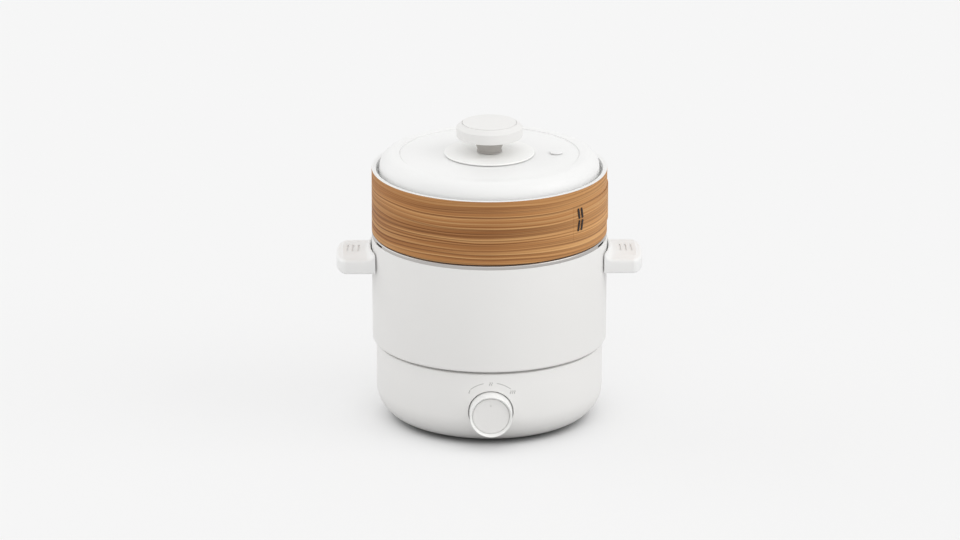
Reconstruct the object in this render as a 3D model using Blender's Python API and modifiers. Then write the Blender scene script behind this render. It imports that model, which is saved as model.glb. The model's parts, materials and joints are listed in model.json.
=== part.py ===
"""An electric steamer pot: heating base with a dial, lift-off pot with two handles, one steamer
tier wrapped in a bamboo hoop, a perforated tray, and a lid with a round knob.

Metres, +Z up. The origin is on the pot's axis at the surface it stands on, and the front faces -Y.
"""

from math import asin, atan2, cos, degrees, pi, radians, sin, sqrt

import bmesh
import bpy
from mathutils import Vector

# Clearance between pieces that touch, and between pieces that lift apart
GAP = 0.0003
LOOSE = 0.0006

# Heating base
FOOT_HEIGHT = 0.0020
BASE_INSET = 0.0038
BASE_HEIGHT = 0.0649
BASE_WALL = 0.0026
BASE_BOTTOM_ROUND = 0.0265
BASE_TOP_ROUND = 0.0010
COLLAR_INSET = 0.0083
COLLAR_WALL = 0.0024
COVER_MARGIN = 0.0017
COVER_THICKNESS = 0.0024
COVER_LEDGE_WIDTH = 0.0120
COVER_LEDGE_THICKNESS = 0.0024
FOOT_RADIUS = 0.0080
FOOT_RECESS = 0.0008
FOOT_INSET = 0.0100
FOOT_EDGE = 0.0006
FOOT_COUNT = 4

# Bottom screws and the bosses they go into
SCREW_INSET = 0.0070
SCREW_COUNT = 4
SCREW_HEAD_RADIUS = 0.0028
SCREW_HEAD_HEIGHT = 0.0012
SCREW_SHANK_RADIUS = 0.0015
SCREW_LENGTH = 0.0110
SCREW_BOSS_WALL = 0.0020

# Heating plate, its element and its seat
PLATE_RADIUS = 0.0610
PLATE_THICKNESS = 0.0074
PLATE_EDGE = 0.0008
SEAT_FLANGE_WIDTH = 0.0087
SEAT_FLANGE_THICKNESS = 0.0020
SEAT_WALL = 0.0044
SEAT_LEDGE_WIDTH = 0.0040
SEAT_LEDGE_THICKNESS = 0.0020
ELEMENT_CIRCLE = 0.0440
ELEMENT_RADIUS = 0.0032
ELEMENT_GAP_ANGLE = radians(34)
ELEMENT_TAIL = 0.0120
ELEMENT_POINTS = 24

# Pot sensor, its bracket, and the cut-out beside it
SENSOR_RADIUS = 0.0095
SENSOR_WALL = 0.0010
SENSOR_FLANGE_WIDTH = 0.0025
SENSOR_FLANGE_THICKNESS = 0.0012
SENSOR_SIDE_CLEARANCE = 0.0010
SPRING_RADIUS = 0.0060
SPRING_WIRE = 0.0005
SPRING_TURNS = 5
SPRING_POINTS = 9
BRACKET_DEPTH = 0.0192
BRACKET_WIDTH = 0.0140
BRACKET_THICKNESS = 0.0012
BRACKET_FOOT = 0.0080
CUTOUT_RADIUS = 0.0075
CUTOUT_HEIGHT = 0.0085
CUTOUT_CIRCLE = 0.0280
TAB_LENGTH = 0.0065
TAB_WIDTH = 0.0048
TAB_THICKNESS = 0.0008

# Dial, and the switch behind it
DIAL_HEIGHT = 0.0329
DIAL_RADIUS = 0.0183
DIAL_REACH = 0.0184
DIAL_WALL = 0.0020
DIAL_DRAFT = 0.0003
DIAL_FRONT_ROUND = 0.0010
DIAL_SIDE_CLEARANCE = 0.0005
DIAL_REAR_CLEARANCE = 0.0008
DIAL_RECESS_DEPTH = 0.0062
DIAL_PAD_THICKNESS = 0.0026
DIAL_HUB_WALL = 0.0027
DIAL_RIM_WIDTH = 0.0021
DIAL_FACE_DEPTH = 0.0012
DIAL_CAP_THICKNESS = 0.0007
SHAFT_RADIUS = 0.0030
SHAFT_LENGTH = 0.0300
SHAFT_SOCKET = 0.0092
NECK_WALL = 0.0014
NECK_LENGTH = 0.0070
NUT_WIDTH = 0.0150
NUT_THICKNESS = 0.0023
SWITCH_WIDTH = 0.0280
SWITCH_HEIGHT = 0.0260
SWITCH_DEPTH = 0.0200
SWITCH_TAB_SPACING = 0.0140

# Power inlet at the back, and the wires inside
INLET_HEIGHT = 0.0380
INLET_STICK_OUT = 0.0093
INLET_WIDTH = 0.0290
INLET_TALL = 0.0220
INLET_ROUND = 0.0040
INLET_WALL = 0.0032
INLET_LENGTH = 0.0220
INLET_SOCKET_DEPTH = 0.0150
INLET_FLANGE_WIDTH = 0.0030
INLET_FLANGE_THICKNESS = 0.0024
PIN_RADIUS = 0.0019
PIN_SPACING = 0.0110
PIN_DROP = 0.0020
PIN_EARTH_RISE = 0.0030
PIN_LENGTH = 0.0220
PIN_TAIL = 0.0060
WIRE_RADIUS = 0.0012
WIRE_LEAD = 0.0040
WIRE_SIDE = 0.0300
WIRE_AHEAD = 0.0200
WIRE_LOW = 0.0240
WIRE_HIGH = 0.0440
EARTH_WIRE_SIDE = 0.0120
EARTH_WIRE_BACK = 0.0500
WIRE_STEPS = 3

# Pot
SEAM = 0.0025
SHELL_RADIUS = 0.1001
SHELL_DRAFT = 0.0005
SHELL_HEIGHT = 0.0909
SHELL_WALL = 0.0025
SHELL_TOP_ROUND = 0.0007
SHELL_BOTTOM_ROUND = 0.0022
SHELL_FLANGE_THICKNESS = 0.0024
NOTCH_ANGLE = radians(20)
NOTCH_WIDTH = 0.0087
NOTCH_DEPTH = 0.0018
POT_AIR_GAP = 0.0039
POT_WALL = 0.0012
POT_FLOOR_THICKNESS = 0.0020
POT_FLOOR_RISE = 0.0040
POT_CORNER = 0.0140
POT_MOUTH_ROUND = 0.0020
POT_RIM_THICKNESS = 0.0036
POT_RIM_INSET = 0.0005
RING_LIP_INSET = 0.0102
RING_LIP_WIDTH = 0.0100
RING_THICKNESS = 0.0024

# Handles
HANDLE_REACH = 0.0300
HANDLE_THICKNESS = 0.0127
HANDLE_DROP = 0.0136
HANDLE_HALF_WIDTH = 0.0290
HANDLE_CORNER_LENGTH = 0.0120
HANDLE_CORNER_WIDTH = 0.0270
HANDLE_EDGE = 0.0030
HANDLE_RISE = 0.0053
HANDLE_RISE_REACH = 0.0070
HANDLE_RISE_LAND = 0.0010
HANDLE_SCREW_SPACING = 0.0280
HANDLE_SCREW_LENGTH = 0.0150
GROOVE_LENGTH = 0.0200
GROOVE_WIDTH = 0.0013
GROOVE_DEPTH = 0.0008
GROOVE_SPACING = 0.0047
GROOVE_SWAY = 0.0010
GROOVE_INSET = 0.0145
GROOVE_COUNT = 3

# Steamer tier
TIER_HEIGHT = 0.0570
TIER_INSET = 0.0001
LIP_THICKNESS = 0.0014
LIP_ROUND = 0.0005
LINER_WALL = 0.0057
MOUTH_WALL = 0.0027
LID_LEDGE_DEPTH = 0.0090
LID_SIDE_CLEARANCE = 0.0017
SKIRT_DEPTH = 0.0073
SKIRT_WALL = 0.0020
TRAY_LEDGE_WIDTH = 0.0075
TRAY_LEDGE_THICKNESS = 0.0023
BAND_THICKNESS = 0.0025
BAND_EDGE = 0.0004
TONGUE_HEIGHT = 0.0300
TONGUE_BASE = 0.0122
TONGUE_THICKNESS = 0.0008
TONGUE_LEAD = radians(4)
TONGUE_ANGLE = radians(75)
TONGUE_STEPS = 20
STITCH_ANGLE = radians(-41.8)
STITCH_LENGTH = 0.0095
STITCH_WIDTH = 0.0021
STITCH_THICKNESS = 0.0006
STITCH_SPACING = 0.0040
STITCH_LEAN = radians(11)
STITCH_RISE = 0.0055
STITCH_CENTRE = 0.0292

# Steam tray
TRAY_THICKNESS = 0.0012
TRAY_RIM_HEIGHT = 0.0070
TRAY_RIM_WALL = 0.0011
TRAY_HOLE_RADIUS = 0.0034
TRAY_HOLE_PITCH = 0.0200
TRAY_HOLE_RINGS = 3
TRAY_HOLES_PER_RING = 6

# Lid
LID_WALL = 0.0022
LID_SHOULDER_WIDTH = 0.0158
LID_SHOULDER_RISE = 0.0092
LID_CROWN_RISE = 0.0105
LID_PLATE_RADIUS = 0.0383
LID_PLATE_THICKNESS = 0.0018
LID_PLATE_EDGE = 0.0005
STEM_WAIST_RADIUS = 0.0100
STEM_TOP_RADIUS = 0.0131
STEM_HEIGHT = 0.0129
SPIGOT_RADIUS = 0.0080
SPIGOT_HEIGHT = 0.0038
KNOB_RADIUS = 0.0281
KNOB_HEIGHT = 0.0123
KNOB_CHAMFER_HEIGHT = 0.0038
KNOB_EDGE = 0.0007
INLAY_RADIUS = 0.0229
INLAY_THICKNESS = 0.0010
INLAY_EDGE = 0.0003
LID_SCREW_HEAD_RADIUS = 0.0036
LID_SCREW_HEAD_HEIGHT = 0.0024
LID_SCREW_RADIUS = 0.0016
LID_SCREW_BITE = 0.0034
WASHER_RADIUS = 0.0060
WASHER_THICKNESS = 0.0010
VENT_OFFSET = 0.0566
VENT_RADIUS = 0.0055
VENT_HEIGHT = 0.0018
VENT_EDGE = 0.0008
VENT_SPIGOT_RADIUS = 0.0017
VENT_SPIGOT_LENGTH = 0.0040

# Heights of the stack
BASE_TOP = FOOT_HEIGHT + BASE_HEIGHT
POT_BOTTOM = BASE_TOP + SEAM
PLATE_TOP = POT_BOTTOM + POT_FLOOR_RISE - GAP
PLATE_BOTTOM = PLATE_TOP - PLATE_THICKNESS
ELEMENT_HEIGHT = PLATE_BOTTOM - GAP - ELEMENT_RADIUS
POT_TOP = SHELL_HEIGHT + GAP + POT_RIM_THICKNESS
TIER_BOTTOM = POT_BOTTOM + POT_TOP + GAP
HANDLE_MIDDLE = SHELL_HEIGHT - HANDLE_DROP - HANDLE_THICKNESS / 2
LID_PLATE_TOP = LID_CROWN_RISE + GAP + LID_PLATE_THICKNESS

# Radii that follow from the pot's wall
SHELL_FOOT_RADIUS = SHELL_RADIUS - SHELL_DRAFT
POT_OUTER_RADIUS = SHELL_FOOT_RADIUS - SHELL_WALL - POT_AIR_GAP
POT_RADIUS = POT_OUTER_RADIUS - POT_WALL
POT_RIM_RADIUS = SHELL_RADIUS - POT_RIM_INSET
RING_LIP_RADIUS = POT_OUTER_RADIUS - RING_LIP_INSET
BASE_RADIUS = SHELL_RADIUS - BASE_INSET
COLLAR_RADIUS = BASE_RADIUS - COLLAR_INSET
COVER_RADIUS = BASE_RADIUS - BASE_BOTTOM_ROUND - COVER_MARGIN
COVER_SEAT_RADIUS = COVER_RADIUS + GAP
FOOT_CIRCLE = COVER_RADIUS - FOOT_INSET
SCREW_CIRCLE = COVER_RADIUS - SCREW_INSET
INLET_REACH = BASE_RADIUS + INLET_STICK_OUT
TIER_RADIUS = SHELL_RADIUS - TIER_INSET
BAND_INNER_RADIUS = TIER_RADIUS - BAND_THICKNESS
LINER_RADIUS = BAND_INNER_RADIUS - GAP
LINER_BORE = LINER_RADIUS - LINER_WALL
MOUTH_RADIUS = LINER_RADIUS - MOUTH_WALL
TRAY_RADIUS = LINER_BORE - GAP
TONGUE_RADIUS = TIER_RADIUS + GAP + TONGUE_THICKNESS
LID_RADIUS = MOUTH_RADIUS - LID_SIDE_CLEARANCE
LID_RING_RADIUS = LID_RADIUS - LID_SHOULDER_WIDTH

# Radii that follow from what they fit
SEAT_BORE = PLATE_RADIUS + GAP
DECK_HOLE_RADIUS = SEAT_BORE + SEAT_WALL + GAP
PLATE_HOLE_RADIUS = SENSOR_RADIUS + SENSOR_SIDE_CLEARANCE
BRACKET_LEG = SENSOR_RADIUS + SENSOR_FLANGE_WIDTH + SENSOR_SIDE_CLEARANCE + BRACKET_THICKNESS
SCREW_HOLE_RADIUS = SCREW_SHANK_RADIUS + GAP
SCREW_BOSS_RADIUS = SCREW_HOLE_RADIUS + SCREW_BOSS_WALL
LID_SCREW_HOLE = LID_SCREW_RADIUS + GAP
DIAL_RECESS_RADIUS = DIAL_RADIUS + DIAL_SIDE_CLEARANCE
SHAFT_BORE = SHAFT_RADIUS + GAP
NECK_RADIUS = SHAFT_BORE + NECK_WALL

# Places along the dial's axis, counted outwards from the floor of its recess
DIAL_FLOOR_Y = BASE_RADIUS - DIAL_RECESS_DEPTH
DIAL_FACE_FLOOR = DIAL_REACH - DIAL_FACE_DEPTH - DIAL_CAP_THICKNESS - GAP
SHAFT_TOP = DIAL_FACE_FLOOR - DIAL_WALL
SWITCH_FRONT = -DIAL_PAD_THICKNESS - GAP
SWITCH_BACK = SWITCH_FRONT - SWITCH_DEPTH

# Sides of the turned pieces
LARGE = 40
MEDIUM = 28
SMALL = 16
TINY = 10

WHITE = ((0.73, 0.72, 0.71), 0.35, 0.0)
WHITE_LID = ((0.86, 0.86, 0.85), 0.32, 0.0)
BLACK_PLASTIC = ((0.03, 0.03, 0.03), 0.45, 0.0)
RUBBER = ((0.05, 0.05, 0.05), 0.80, 0.0)
STEEL = ((0.62, 0.62, 0.61), 0.28, 1.0)
CAST_ALUMINIUM = ((0.50, 0.50, 0.51), 0.50, 1.0)
BRASS = ((0.72, 0.56, 0.28), 0.30, 1.0)
BAMBOO = ((0.40, 0.19, 0.07), 0.50, 0.0)
DARK_CANE = ((0.05, 0.02, 0.01), 0.60, 0.0)
WIRE_RED = ((0.35, 0.03, 0.03), 0.50, 0.0)
WIRE_BLUE = ((0.03, 0.08, 0.35), 0.50, 0.0)
WIRE_GREEN = ((0.05, 0.25, 0.05), 0.50, 0.0)

PARTS = "steamer_pot"
CUTTERS = "steamer_pot_cutters"


def clear_scene():
    for obj in list(bpy.data.objects):
        bpy.data.objects.remove(obj, do_unlink=True)
    for name in (PARTS, CUTTERS):
        bpy.context.scene.collection.children.link(bpy.data.collections.new(name))


def material(name, colour, roughness, metallic):
    made = bpy.data.materials.new(name)
    made.use_nodes = True
    shader = made.node_tree.nodes["Principled BSDF"]
    shader.inputs["Base Color"].default_value = (*colour, 1.0)
    shader.inputs["Roughness"].default_value = roughness
    shader.inputs["Metallic"].default_value = metallic
    return made


def empty(name, location, parent=None, rotation=(0, 0, 0)):
    frame = bpy.data.objects.new(name, None)
    bpy.data.collections[PARTS].objects.link(frame)
    frame.parent = parent
    frame.location = location
    frame.rotation_euler = rotation
    return frame


def place(name, data, parent, look, location, rotation):
    """Links an object as a part, or as a cutter where it has no look."""
    obj = bpy.data.objects.new(name, data)
    obj.parent = parent
    obj.location = location
    obj.rotation_euler = rotation
    if look is None:
        bpy.data.collections[CUTTERS].objects.link(obj)
        obj.hide_render = True
        obj.display_type = "WIRE"
    else:
        bpy.data.collections[PARTS].objects.link(obj)
        data.materials.append(material(name, *look))
    return obj


def baked(obj):
    """The object's evaluated shape as a welded mesh, shaded smooth up to its edges. The object goes."""
    bpy.context.view_layer.update()
    graph = bpy.context.evaluated_depsgraph_get()
    mesh = bpy.data.meshes.new_from_object(obj.evaluated_get(graph))
    bpy.data.objects.remove(obj, do_unlink=True)
    shape = bmesh.new()
    shape.from_mesh(mesh)
    bmesh.ops.remove_doubles(shape, verts=shape.verts, dist=1e-6)
    poles = [vertex for vertex in shape.verts if vertex.co.xy.length < 1e-6 and len(vertex.link_edges) > 6]
    bmesh.ops.dissolve_verts(shape, verts=poles)
    bmesh.ops.recalc_face_normals(shape, faces=shape.faces)
    shape.to_mesh(mesh)
    shape.free()
    mesh.shade_smooth()
    mesh.set_sharp_from_angle(angle=radians(35))
    return mesh


def from_bmesh(name, shape):
    mesh = bpy.data.meshes.new(name)
    shape.to_mesh(mesh)
    shape.free()
    mesh.shade_smooth()
    mesh.set_sharp_from_angle(angle=radians(35))
    return mesh


def arc(centre, radius_x, radius_z, start, end, steps):
    """Points of an elliptical arc, from its start to its end angle in degrees."""
    points = []
    for i in range(steps + 1):
        angle = radians(start + (end - start) * i / steps)
        points.append((centre[0] + radius_x * cos(angle), centre[1] + radius_z * sin(angle)))
    return points


def turned(name, profile, sides, parent, look=None, location=(0, 0, 0), rotation=(0, 0, 0)):
    """A turned piece. Its profile of (radius, z) runs down the outer side, and closes off the axis."""
    edges = [(i, i + 1) for i in range(len(profile) - 1)]
    if profile[0][0] > 0:
        edges.append((len(profile) - 1, 0))
    line = bpy.data.meshes.new(name + "_profile")
    line.from_pydata([(r, 0.0, z) for r, z in profile], edges, [])
    guide = bpy.data.objects.new(name + "_profile", line)
    bpy.context.scene.collection.objects.link(guide)
    screw = guide.modifiers.new("Turn", "SCREW")
    screw.axis = "Z"
    screw.angle = 2 * pi
    screw.steps = sides
    screw.render_steps = sides
    screw.use_merge_vertices = True
    screw.merge_threshold = 0.00001
    mesh = baked(guide)
    mesh.name = name
    return place(name, mesh, parent, look, location, rotation)


def block(name, size, parent, look=None, location=(0, 0, 0), rotation=(0, 0, 0)):
    shape = bmesh.new()
    bmesh.ops.create_cube(shape, size=1.0)
    bmesh.ops.scale(shape, vec=size, verts=shape.verts)
    return place(name, from_bmesh(name, shape), parent, look, location, rotation)


def rod(name, radius, low, high, sides, parent, look=None, location=(0, 0, 0), rotation=(0, 0, 0)):
    """A cylinder along its own Z, from low to high."""
    shape = bmesh.new()
    add_rod(shape, radius, low, high, sides, (0, 0))
    return place(name, from_bmesh(name, shape), parent, look, location, rotation)


def add_rod(shape, radius, low, high, sides, centre):
    made = bmesh.ops.create_cone(
        shape, cap_ends=True, segments=sides, radius1=radius, radius2=radius, depth=high - low
    )
    bmesh.ops.translate(shape, vec=(*centre, (low + high) / 2), verts=made["verts"])


def outline(name, points, low, high, parent, look=None, location=(0, 0, 0), rotation=(0, 0, 0)):
    """A flat outline in XY, drawn out along Z from low to high."""
    curve = bpy.data.curves.new(name, "CURVE")
    curve.dimensions = "2D"
    curve.fill_mode = "BOTH"
    curve.extrude = (high - low) / 2
    spline = curve.splines.new("POLY")
    spline.points.add(len(points) - 1)
    for point, (x, y) in zip(spline.points, points):
        point.co = (x, y, 0.0, 1.0)
    spline.use_cyclic_u = True
    guide = bpy.data.objects.new(name + "_outline", curve)
    bpy.context.scene.collection.objects.link(guide)
    mesh = baked(guide)
    mesh.name = name
    for vertex in mesh.vertices:
        vertex.co.z += (low + high) / 2
    return place(name, mesh, parent, look, location, rotation)


def wire(name, points, radius, parent, look, resolution=1):
    """A round wire along the points, with filled ends."""
    curve = bpy.data.curves.new(name, "CURVE")
    curve.dimensions = "3D"
    curve.bevel_depth = radius
    curve.bevel_resolution = resolution
    curve.use_fill_caps = True
    spline = curve.splines.new("POLY")
    spline.points.add(len(points) - 1)
    for point, spot in zip(spline.points, points):
        point.co = (*spot, 1.0)
    return place(name, curve, parent, look, (0, 0, 0), (0, 0, 0))


def smooth_route(knots):
    """Points on a smooth curve through the knots, straight between the first two and the last two."""
    knots = [Vector(knot) for knot in knots]
    route = [knots[0]]
    for before, start, end, after in zip(knots, knots[1:], knots[2:], knots[3:]):
        for step in range(WIRE_STEPS):
            t = step / WIRE_STEPS
            route.append(
                start
                + (end - before) * (t / 2)
                + (2 * before - 5 * start + 4 * end - after) * (t**2 / 2)
                + (3 * start - before - 3 * end + after) * (t**3 / 2)
            )
    return [*route, *knots[-2:]]


def rounded_rectangle(width, height, radius):
    """Corner points, anticlockwise, of a rectangle with round corners."""
    points = []
    for quarter, (side_x, side_y) in enumerate(((1, 1), (-1, 1), (-1, -1), (1, -1))):
        corner = (side_x * (width / 2 - radius), side_y * (height / 2 - radius))
        points += arc(corner, radius, radius, 90 * quarter, 90 * quarter + 90, 3)
    return points


def boolean(obj, other, operation):
    step = obj.modifiers.new(f"{operation.title()} {other.name}", "BOOLEAN")
    step.operation = operation
    step.solver = "EXACT"
    step.object = other


def cut(obj, *cutters):
    for cutter in cutters:
        boolean(obj, cutter, "DIFFERENCE")


def join(obj, *others):
    for other in others:
        boolean(obj, other, "UNION")


def around(radius, count, offset=0.0):
    """Places evenly spaced on a circle, as (x, y)."""
    angles = [offset + 2 * pi * i / count for i in range(count)]
    return [(radius * cos(angle), radius * sin(angle)) for angle in angles]


def base_side(inset, top):
    """The base's outer side at a depth below its surface: straight from the top, then round."""
    centre = (BASE_RADIUS - BASE_BOTTOM_ROUND, FOOT_HEIGHT + BASE_BOTTOM_ROUND)
    radius = BASE_BOTTOM_ROUND - inset
    return [(BASE_RADIUS - inset, top), *arc(centre, radius, radius, 0, -90, 6)]


def make_base_housing(base, dial):
    seat_z = FOOT_HEIGHT + COVER_THICKNESS + GAP
    ledge_z = seat_z + COVER_LEDGE_THICKNESS
    ledge_bore = COVER_SEAT_RADIUS - COVER_LEDGE_WIDTH
    centre = (BASE_RADIUS - BASE_BOTTOM_ROUND, FOOT_HEIGHT + BASE_BOTTOM_ROUND)
    inner_round = BASE_BOTTOM_ROUND - BASE_WALL
    inner_start = -degrees(asin((centre[1] - ledge_z) / inner_round))
    shoulder = (BASE_RADIUS - BASE_TOP_ROUND, BASE_TOP - BASE_TOP_ROUND)
    collar_top = POT_BOTTOM + SHELL_FLANGE_THICKNESS - GAP
    profile = [
        (DECK_HOLE_RADIUS, BASE_TOP),
        (COLLAR_RADIUS - COLLAR_WALL, BASE_TOP),
        (COLLAR_RADIUS - COLLAR_WALL, collar_top),
        (COLLAR_RADIUS, collar_top),
        (COLLAR_RADIUS, BASE_TOP),
        *arc(shoulder, BASE_TOP_ROUND, BASE_TOP_ROUND, 90, 45, 1),
        *base_side(0, BASE_TOP - BASE_TOP_ROUND),
        (COVER_SEAT_RADIUS, FOOT_HEIGHT),
        (COVER_SEAT_RADIUS, seat_z),
        (ledge_bore, seat_z),
        (ledge_bore, ledge_z),
        *arc(centre, inner_round, inner_round, inner_start, 0, 3),
        (BASE_RADIUS - BASE_WALL, BASE_TOP - BASE_WALL),
        (DECK_HOLE_RADIUS, BASE_TOP - BASE_WALL),
    ]
    housing = turned("base_housing", profile, LARGE, base, WHITE)

    middle = BASE_WALL / 2
    core_profile = [(0, BASE_TOP - middle), *base_side(middle, BASE_TOP - middle), (0, FOOT_HEIGHT + middle)]
    core = turned("base_core", core_profile, LARGE, base)
    reach = DIAL_RECESS_DEPTH + BASE_WALL
    pad_radius = DIAL_RECESS_RADIUS + BASE_WALL
    pad = rod("dial_pad", pad_radius, -DIAL_PAD_THICKNESS, reach, MEDIUM, dial)
    boolean(pad, core, "INTERSECT")
    join(housing, pad)
    cut(
        housing,
        rod("dial_recess", DIAL_RECESS_RADIUS, 0, reach, MEDIUM, dial),
        rod("neck_hole", NECK_RADIUS + GAP, -reach, reach, SMALL, dial),
    )

    for index, (x, y) in enumerate(around(SCREW_CIRCLE, SCREW_COUNT)):
        hole_top = FOOT_HEIGHT + SCREW_LENGTH + GAP
        spot = (x, y, 0)
        boss = rod(
            f"screw_boss_{index + 1}", SCREW_BOSS_RADIUS, ledge_z - COVER_LEDGE_THICKNESS / 2,
            hole_top + SCREW_BOSS_WALL, TINY, base, None, spot,
        )
        hole = rod(
            f"screw_boss_hole_{index + 1}", SCREW_HOLE_RADIUS, 0, hole_top, TINY, base, None, spot
        )
        join(housing, boss)
        cut(housing, hole)
    return housing


def make_bottom_cover(base):
    top = FOOT_HEIGHT + COVER_THICKNESS
    profile = [(0, top), (COVER_RADIUS, top), (COVER_RADIUS, FOOT_HEIGHT), (0, FOOT_HEIGHT)]
    cover = turned("bottom_cover", profile, LARGE, base, WHITE)
    head_top = FOOT_HEIGHT + SCREW_HEAD_HEIGHT + GAP
    for index, (x, y) in enumerate(around(SCREW_CIRCLE, SCREW_COUNT)):
        spot = (x, y, 0)
        name = f"cover_screw_hole_{index + 1}"
        cut(
            cover,
            rod(name, SCREW_HOLE_RADIUS, 0, 2 * top, TINY, base, None, spot),
            rod(name + "_head", SCREW_HEAD_RADIUS + GAP, 0, head_top, TINY, base, None, spot),
        )
    recess_top = FOOT_HEIGHT + FOOT_RECESS
    for index, (x, y) in enumerate(around(FOOT_CIRCLE, FOOT_COUNT, pi / FOOT_COUNT)):
        name = f"foot_recess_{index + 1}"
        cut(cover, rod(name, FOOT_RADIUS + GAP, 0, recess_top, SMALL, base, None, (x, y, 0)))


def make_feet(base):
    top = FOOT_HEIGHT + FOOT_RECESS - GAP
    profile = [
        (0, top),
        (FOOT_RADIUS, top),
        (FOOT_RADIUS, FOOT_EDGE),
        (FOOT_RADIUS - FOOT_EDGE, 0),
        (0, 0),
    ]
    for index, (x, y) in enumerate(around(FOOT_CIRCLE, FOOT_COUNT, pi / FOOT_COUNT)):
        turned(f"foot_{index + 1}", profile, SMALL, base, RUBBER, (x, y, 0))


def make_bottom_screws(base):
    head = SCREW_HEAD_HEIGHT
    profile = [
        (0, SCREW_LENGTH),
        (SCREW_SHANK_RADIUS, SCREW_LENGTH),
        (SCREW_SHANK_RADIUS, head),
        (SCREW_HEAD_RADIUS, head),
        (SCREW_HEAD_RADIUS, 0),
        (0, 0),
    ]
    for index, (x, y) in enumerate(around(SCREW_CIRCLE, SCREW_COUNT)):
        turned(f"bottom_screw_{index + 1}", profile, TINY, base, STEEL, (x, y, FOOT_HEIGHT))


def make_heating_plate(base):
    profile = [
        (PLATE_HOLE_RADIUS, PLATE_TOP),
        (PLATE_RADIUS - PLATE_EDGE, PLATE_TOP),
        (PLATE_RADIUS, PLATE_TOP - PLATE_EDGE),
        (PLATE_RADIUS, PLATE_BOTTOM),
        (PLATE_HOLE_RADIUS, PLATE_BOTTOM),
    ]
    turned("heating_plate", profile, LARGE, base, CAST_ALUMINIUM)

    flange_z = BASE_TOP + GAP
    flange_top = flange_z + SEAT_FLANGE_THICKNESS
    ledge_top = PLATE_BOTTOM - GAP
    ledge_z = ledge_top - SEAT_LEDGE_THICKNESS
    neck = SEAT_BORE + SEAT_WALL
    seat_profile = [
        (SEAT_BORE, flange_top),
        (SEAT_BORE + SEAT_FLANGE_WIDTH, flange_top),
        (SEAT_BORE + SEAT_FLANGE_WIDTH, flange_z),
        (neck, flange_z),
        (neck, ledge_z),
        (SEAT_BORE - SEAT_LEDGE_WIDTH, ledge_z),
        (SEAT_BORE - SEAT_LEDGE_WIDTH, ledge_top),
        (SEAT_BORE, ledge_top),
    ]
    turned("plate_seat_ring", seat_profile, LARGE, base, BLACK_PLASTIC)


def element_end(side):
    """Where a tail of the element ends, on its left (-1) or right (1) of the middle at the back."""
    angle = pi / 2 - side * ELEMENT_GAP_ANGLE / 2
    low = ELEMENT_HEIGHT - ELEMENT_TAIL
    return Vector((ELEMENT_CIRCLE * cos(angle), ELEMENT_CIRCLE * sin(angle), low))


def make_heating_element(base):
    start = pi / 2 + ELEMENT_GAP_ANGLE / 2
    sweep = 2 * pi - ELEMENT_GAP_ANGLE
    bend = ELEMENT_RADIUS
    rise = Vector((0, 0, ELEMENT_TAIL - bend))
    points = [element_end(-1), element_end(-1) + rise]
    lead = bend / ELEMENT_CIRCLE
    for i in range(ELEMENT_POINTS + 1):
        angle = start + lead + (sweep - 2 * lead) * i / ELEMENT_POINTS
        points.append((ELEMENT_CIRCLE * cos(angle), ELEMENT_CIRCLE * sin(angle), ELEMENT_HEIGHT))
    points += [element_end(1) + rise, element_end(1)]
    wire("heating_element", points, ELEMENT_RADIUS, base, STEEL, 2)


def make_sensor(base, sensor):
    """The cup's own zero is the plate's top. It goes down by its travel against its spring."""
    flange_top = PLATE_BOTTOM - GAP - PLATE_TOP
    flange_z = flange_top - SENSOR_FLANGE_THICKNESS
    bore = SENSOR_RADIUS - SENSOR_WALL
    profile = [
        (0, 0),
        (SENSOR_RADIUS - SENSOR_WALL / 2, 0),
        (SENSOR_RADIUS, -SENSOR_WALL / 2),
        (SENSOR_RADIUS, flange_top),
        (SENSOR_RADIUS + SENSOR_FLANGE_WIDTH, flange_top),
        (SENSOR_RADIUS + SENSOR_FLANGE_WIDTH, flange_z),
        (bore, flange_z),
        (bore, -SENSOR_WALL),
        (0, -SENSOR_WALL),
    ]
    turned("sensor_cup", profile, SMALL, sensor, CAST_ALUMINIUM)

    foot = BRACKET_LEG + BRACKET_FOOT
    inner = BRACKET_LEG - BRACKET_THICKNESS
    right_half = [
        (inner, BRACKET_THICKNESS - BRACKET_DEPTH),
        (inner, 0),
        (foot, 0),
        (foot, -BRACKET_THICKNESS),
        (BRACKET_LEG, -BRACKET_THICKNESS),
        (BRACKET_LEG, -BRACKET_DEPTH),
    ]
    left_half = [(-x, z) for x, z in reversed(right_half)]
    outline(
        "sensor_bracket", right_half + left_half, -BRACKET_WIDTH / 2, BRACKET_WIDTH / 2, base, STEEL,
        (0, 0, PLATE_BOTTOM - GAP), (pi / 2, 0, 0),
    )

    low = PLATE_BOTTOM - BRACKET_DEPTH + BRACKET_THICKNESS + SPRING_WIRE
    high = PLATE_TOP - SENSOR_WALL - GAP - SPRING_WIRE
    count = SPRING_TURNS * SPRING_POINTS
    points = []
    for i in range(count + 1):
        angle = 2 * pi * i / SPRING_POINTS
        z = low + (high - low) * i / count
        points.append((SPRING_RADIUS * cos(angle), SPRING_RADIUS * sin(angle), z))
    wire("sensor_spring", points, SPRING_WIRE, base, STEEL, 0)


def make_thermal_cutout(base):
    """A round switch under the plate, with a tab on each side."""
    top = PLATE_BOTTOM - GAP
    low = top - CUTOUT_HEIGHT
    spot = (0, CUTOUT_CIRCLE, 0)
    body = rod("thermal_cutout", CUTOUT_RADIUS, low, top, SMALL, base, BLACK_PLASTIC, spot)
    length = 2 * (CUTOUT_RADIUS + TAB_LENGTH)
    tab_spot = (0, CUTOUT_CIRCLE, low + CUTOUT_HEIGHT / 4)
    join(body, block("cutout_tabs", (length, TAB_WIDTH, TAB_THICKNESS), base, None, tab_spot))


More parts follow.
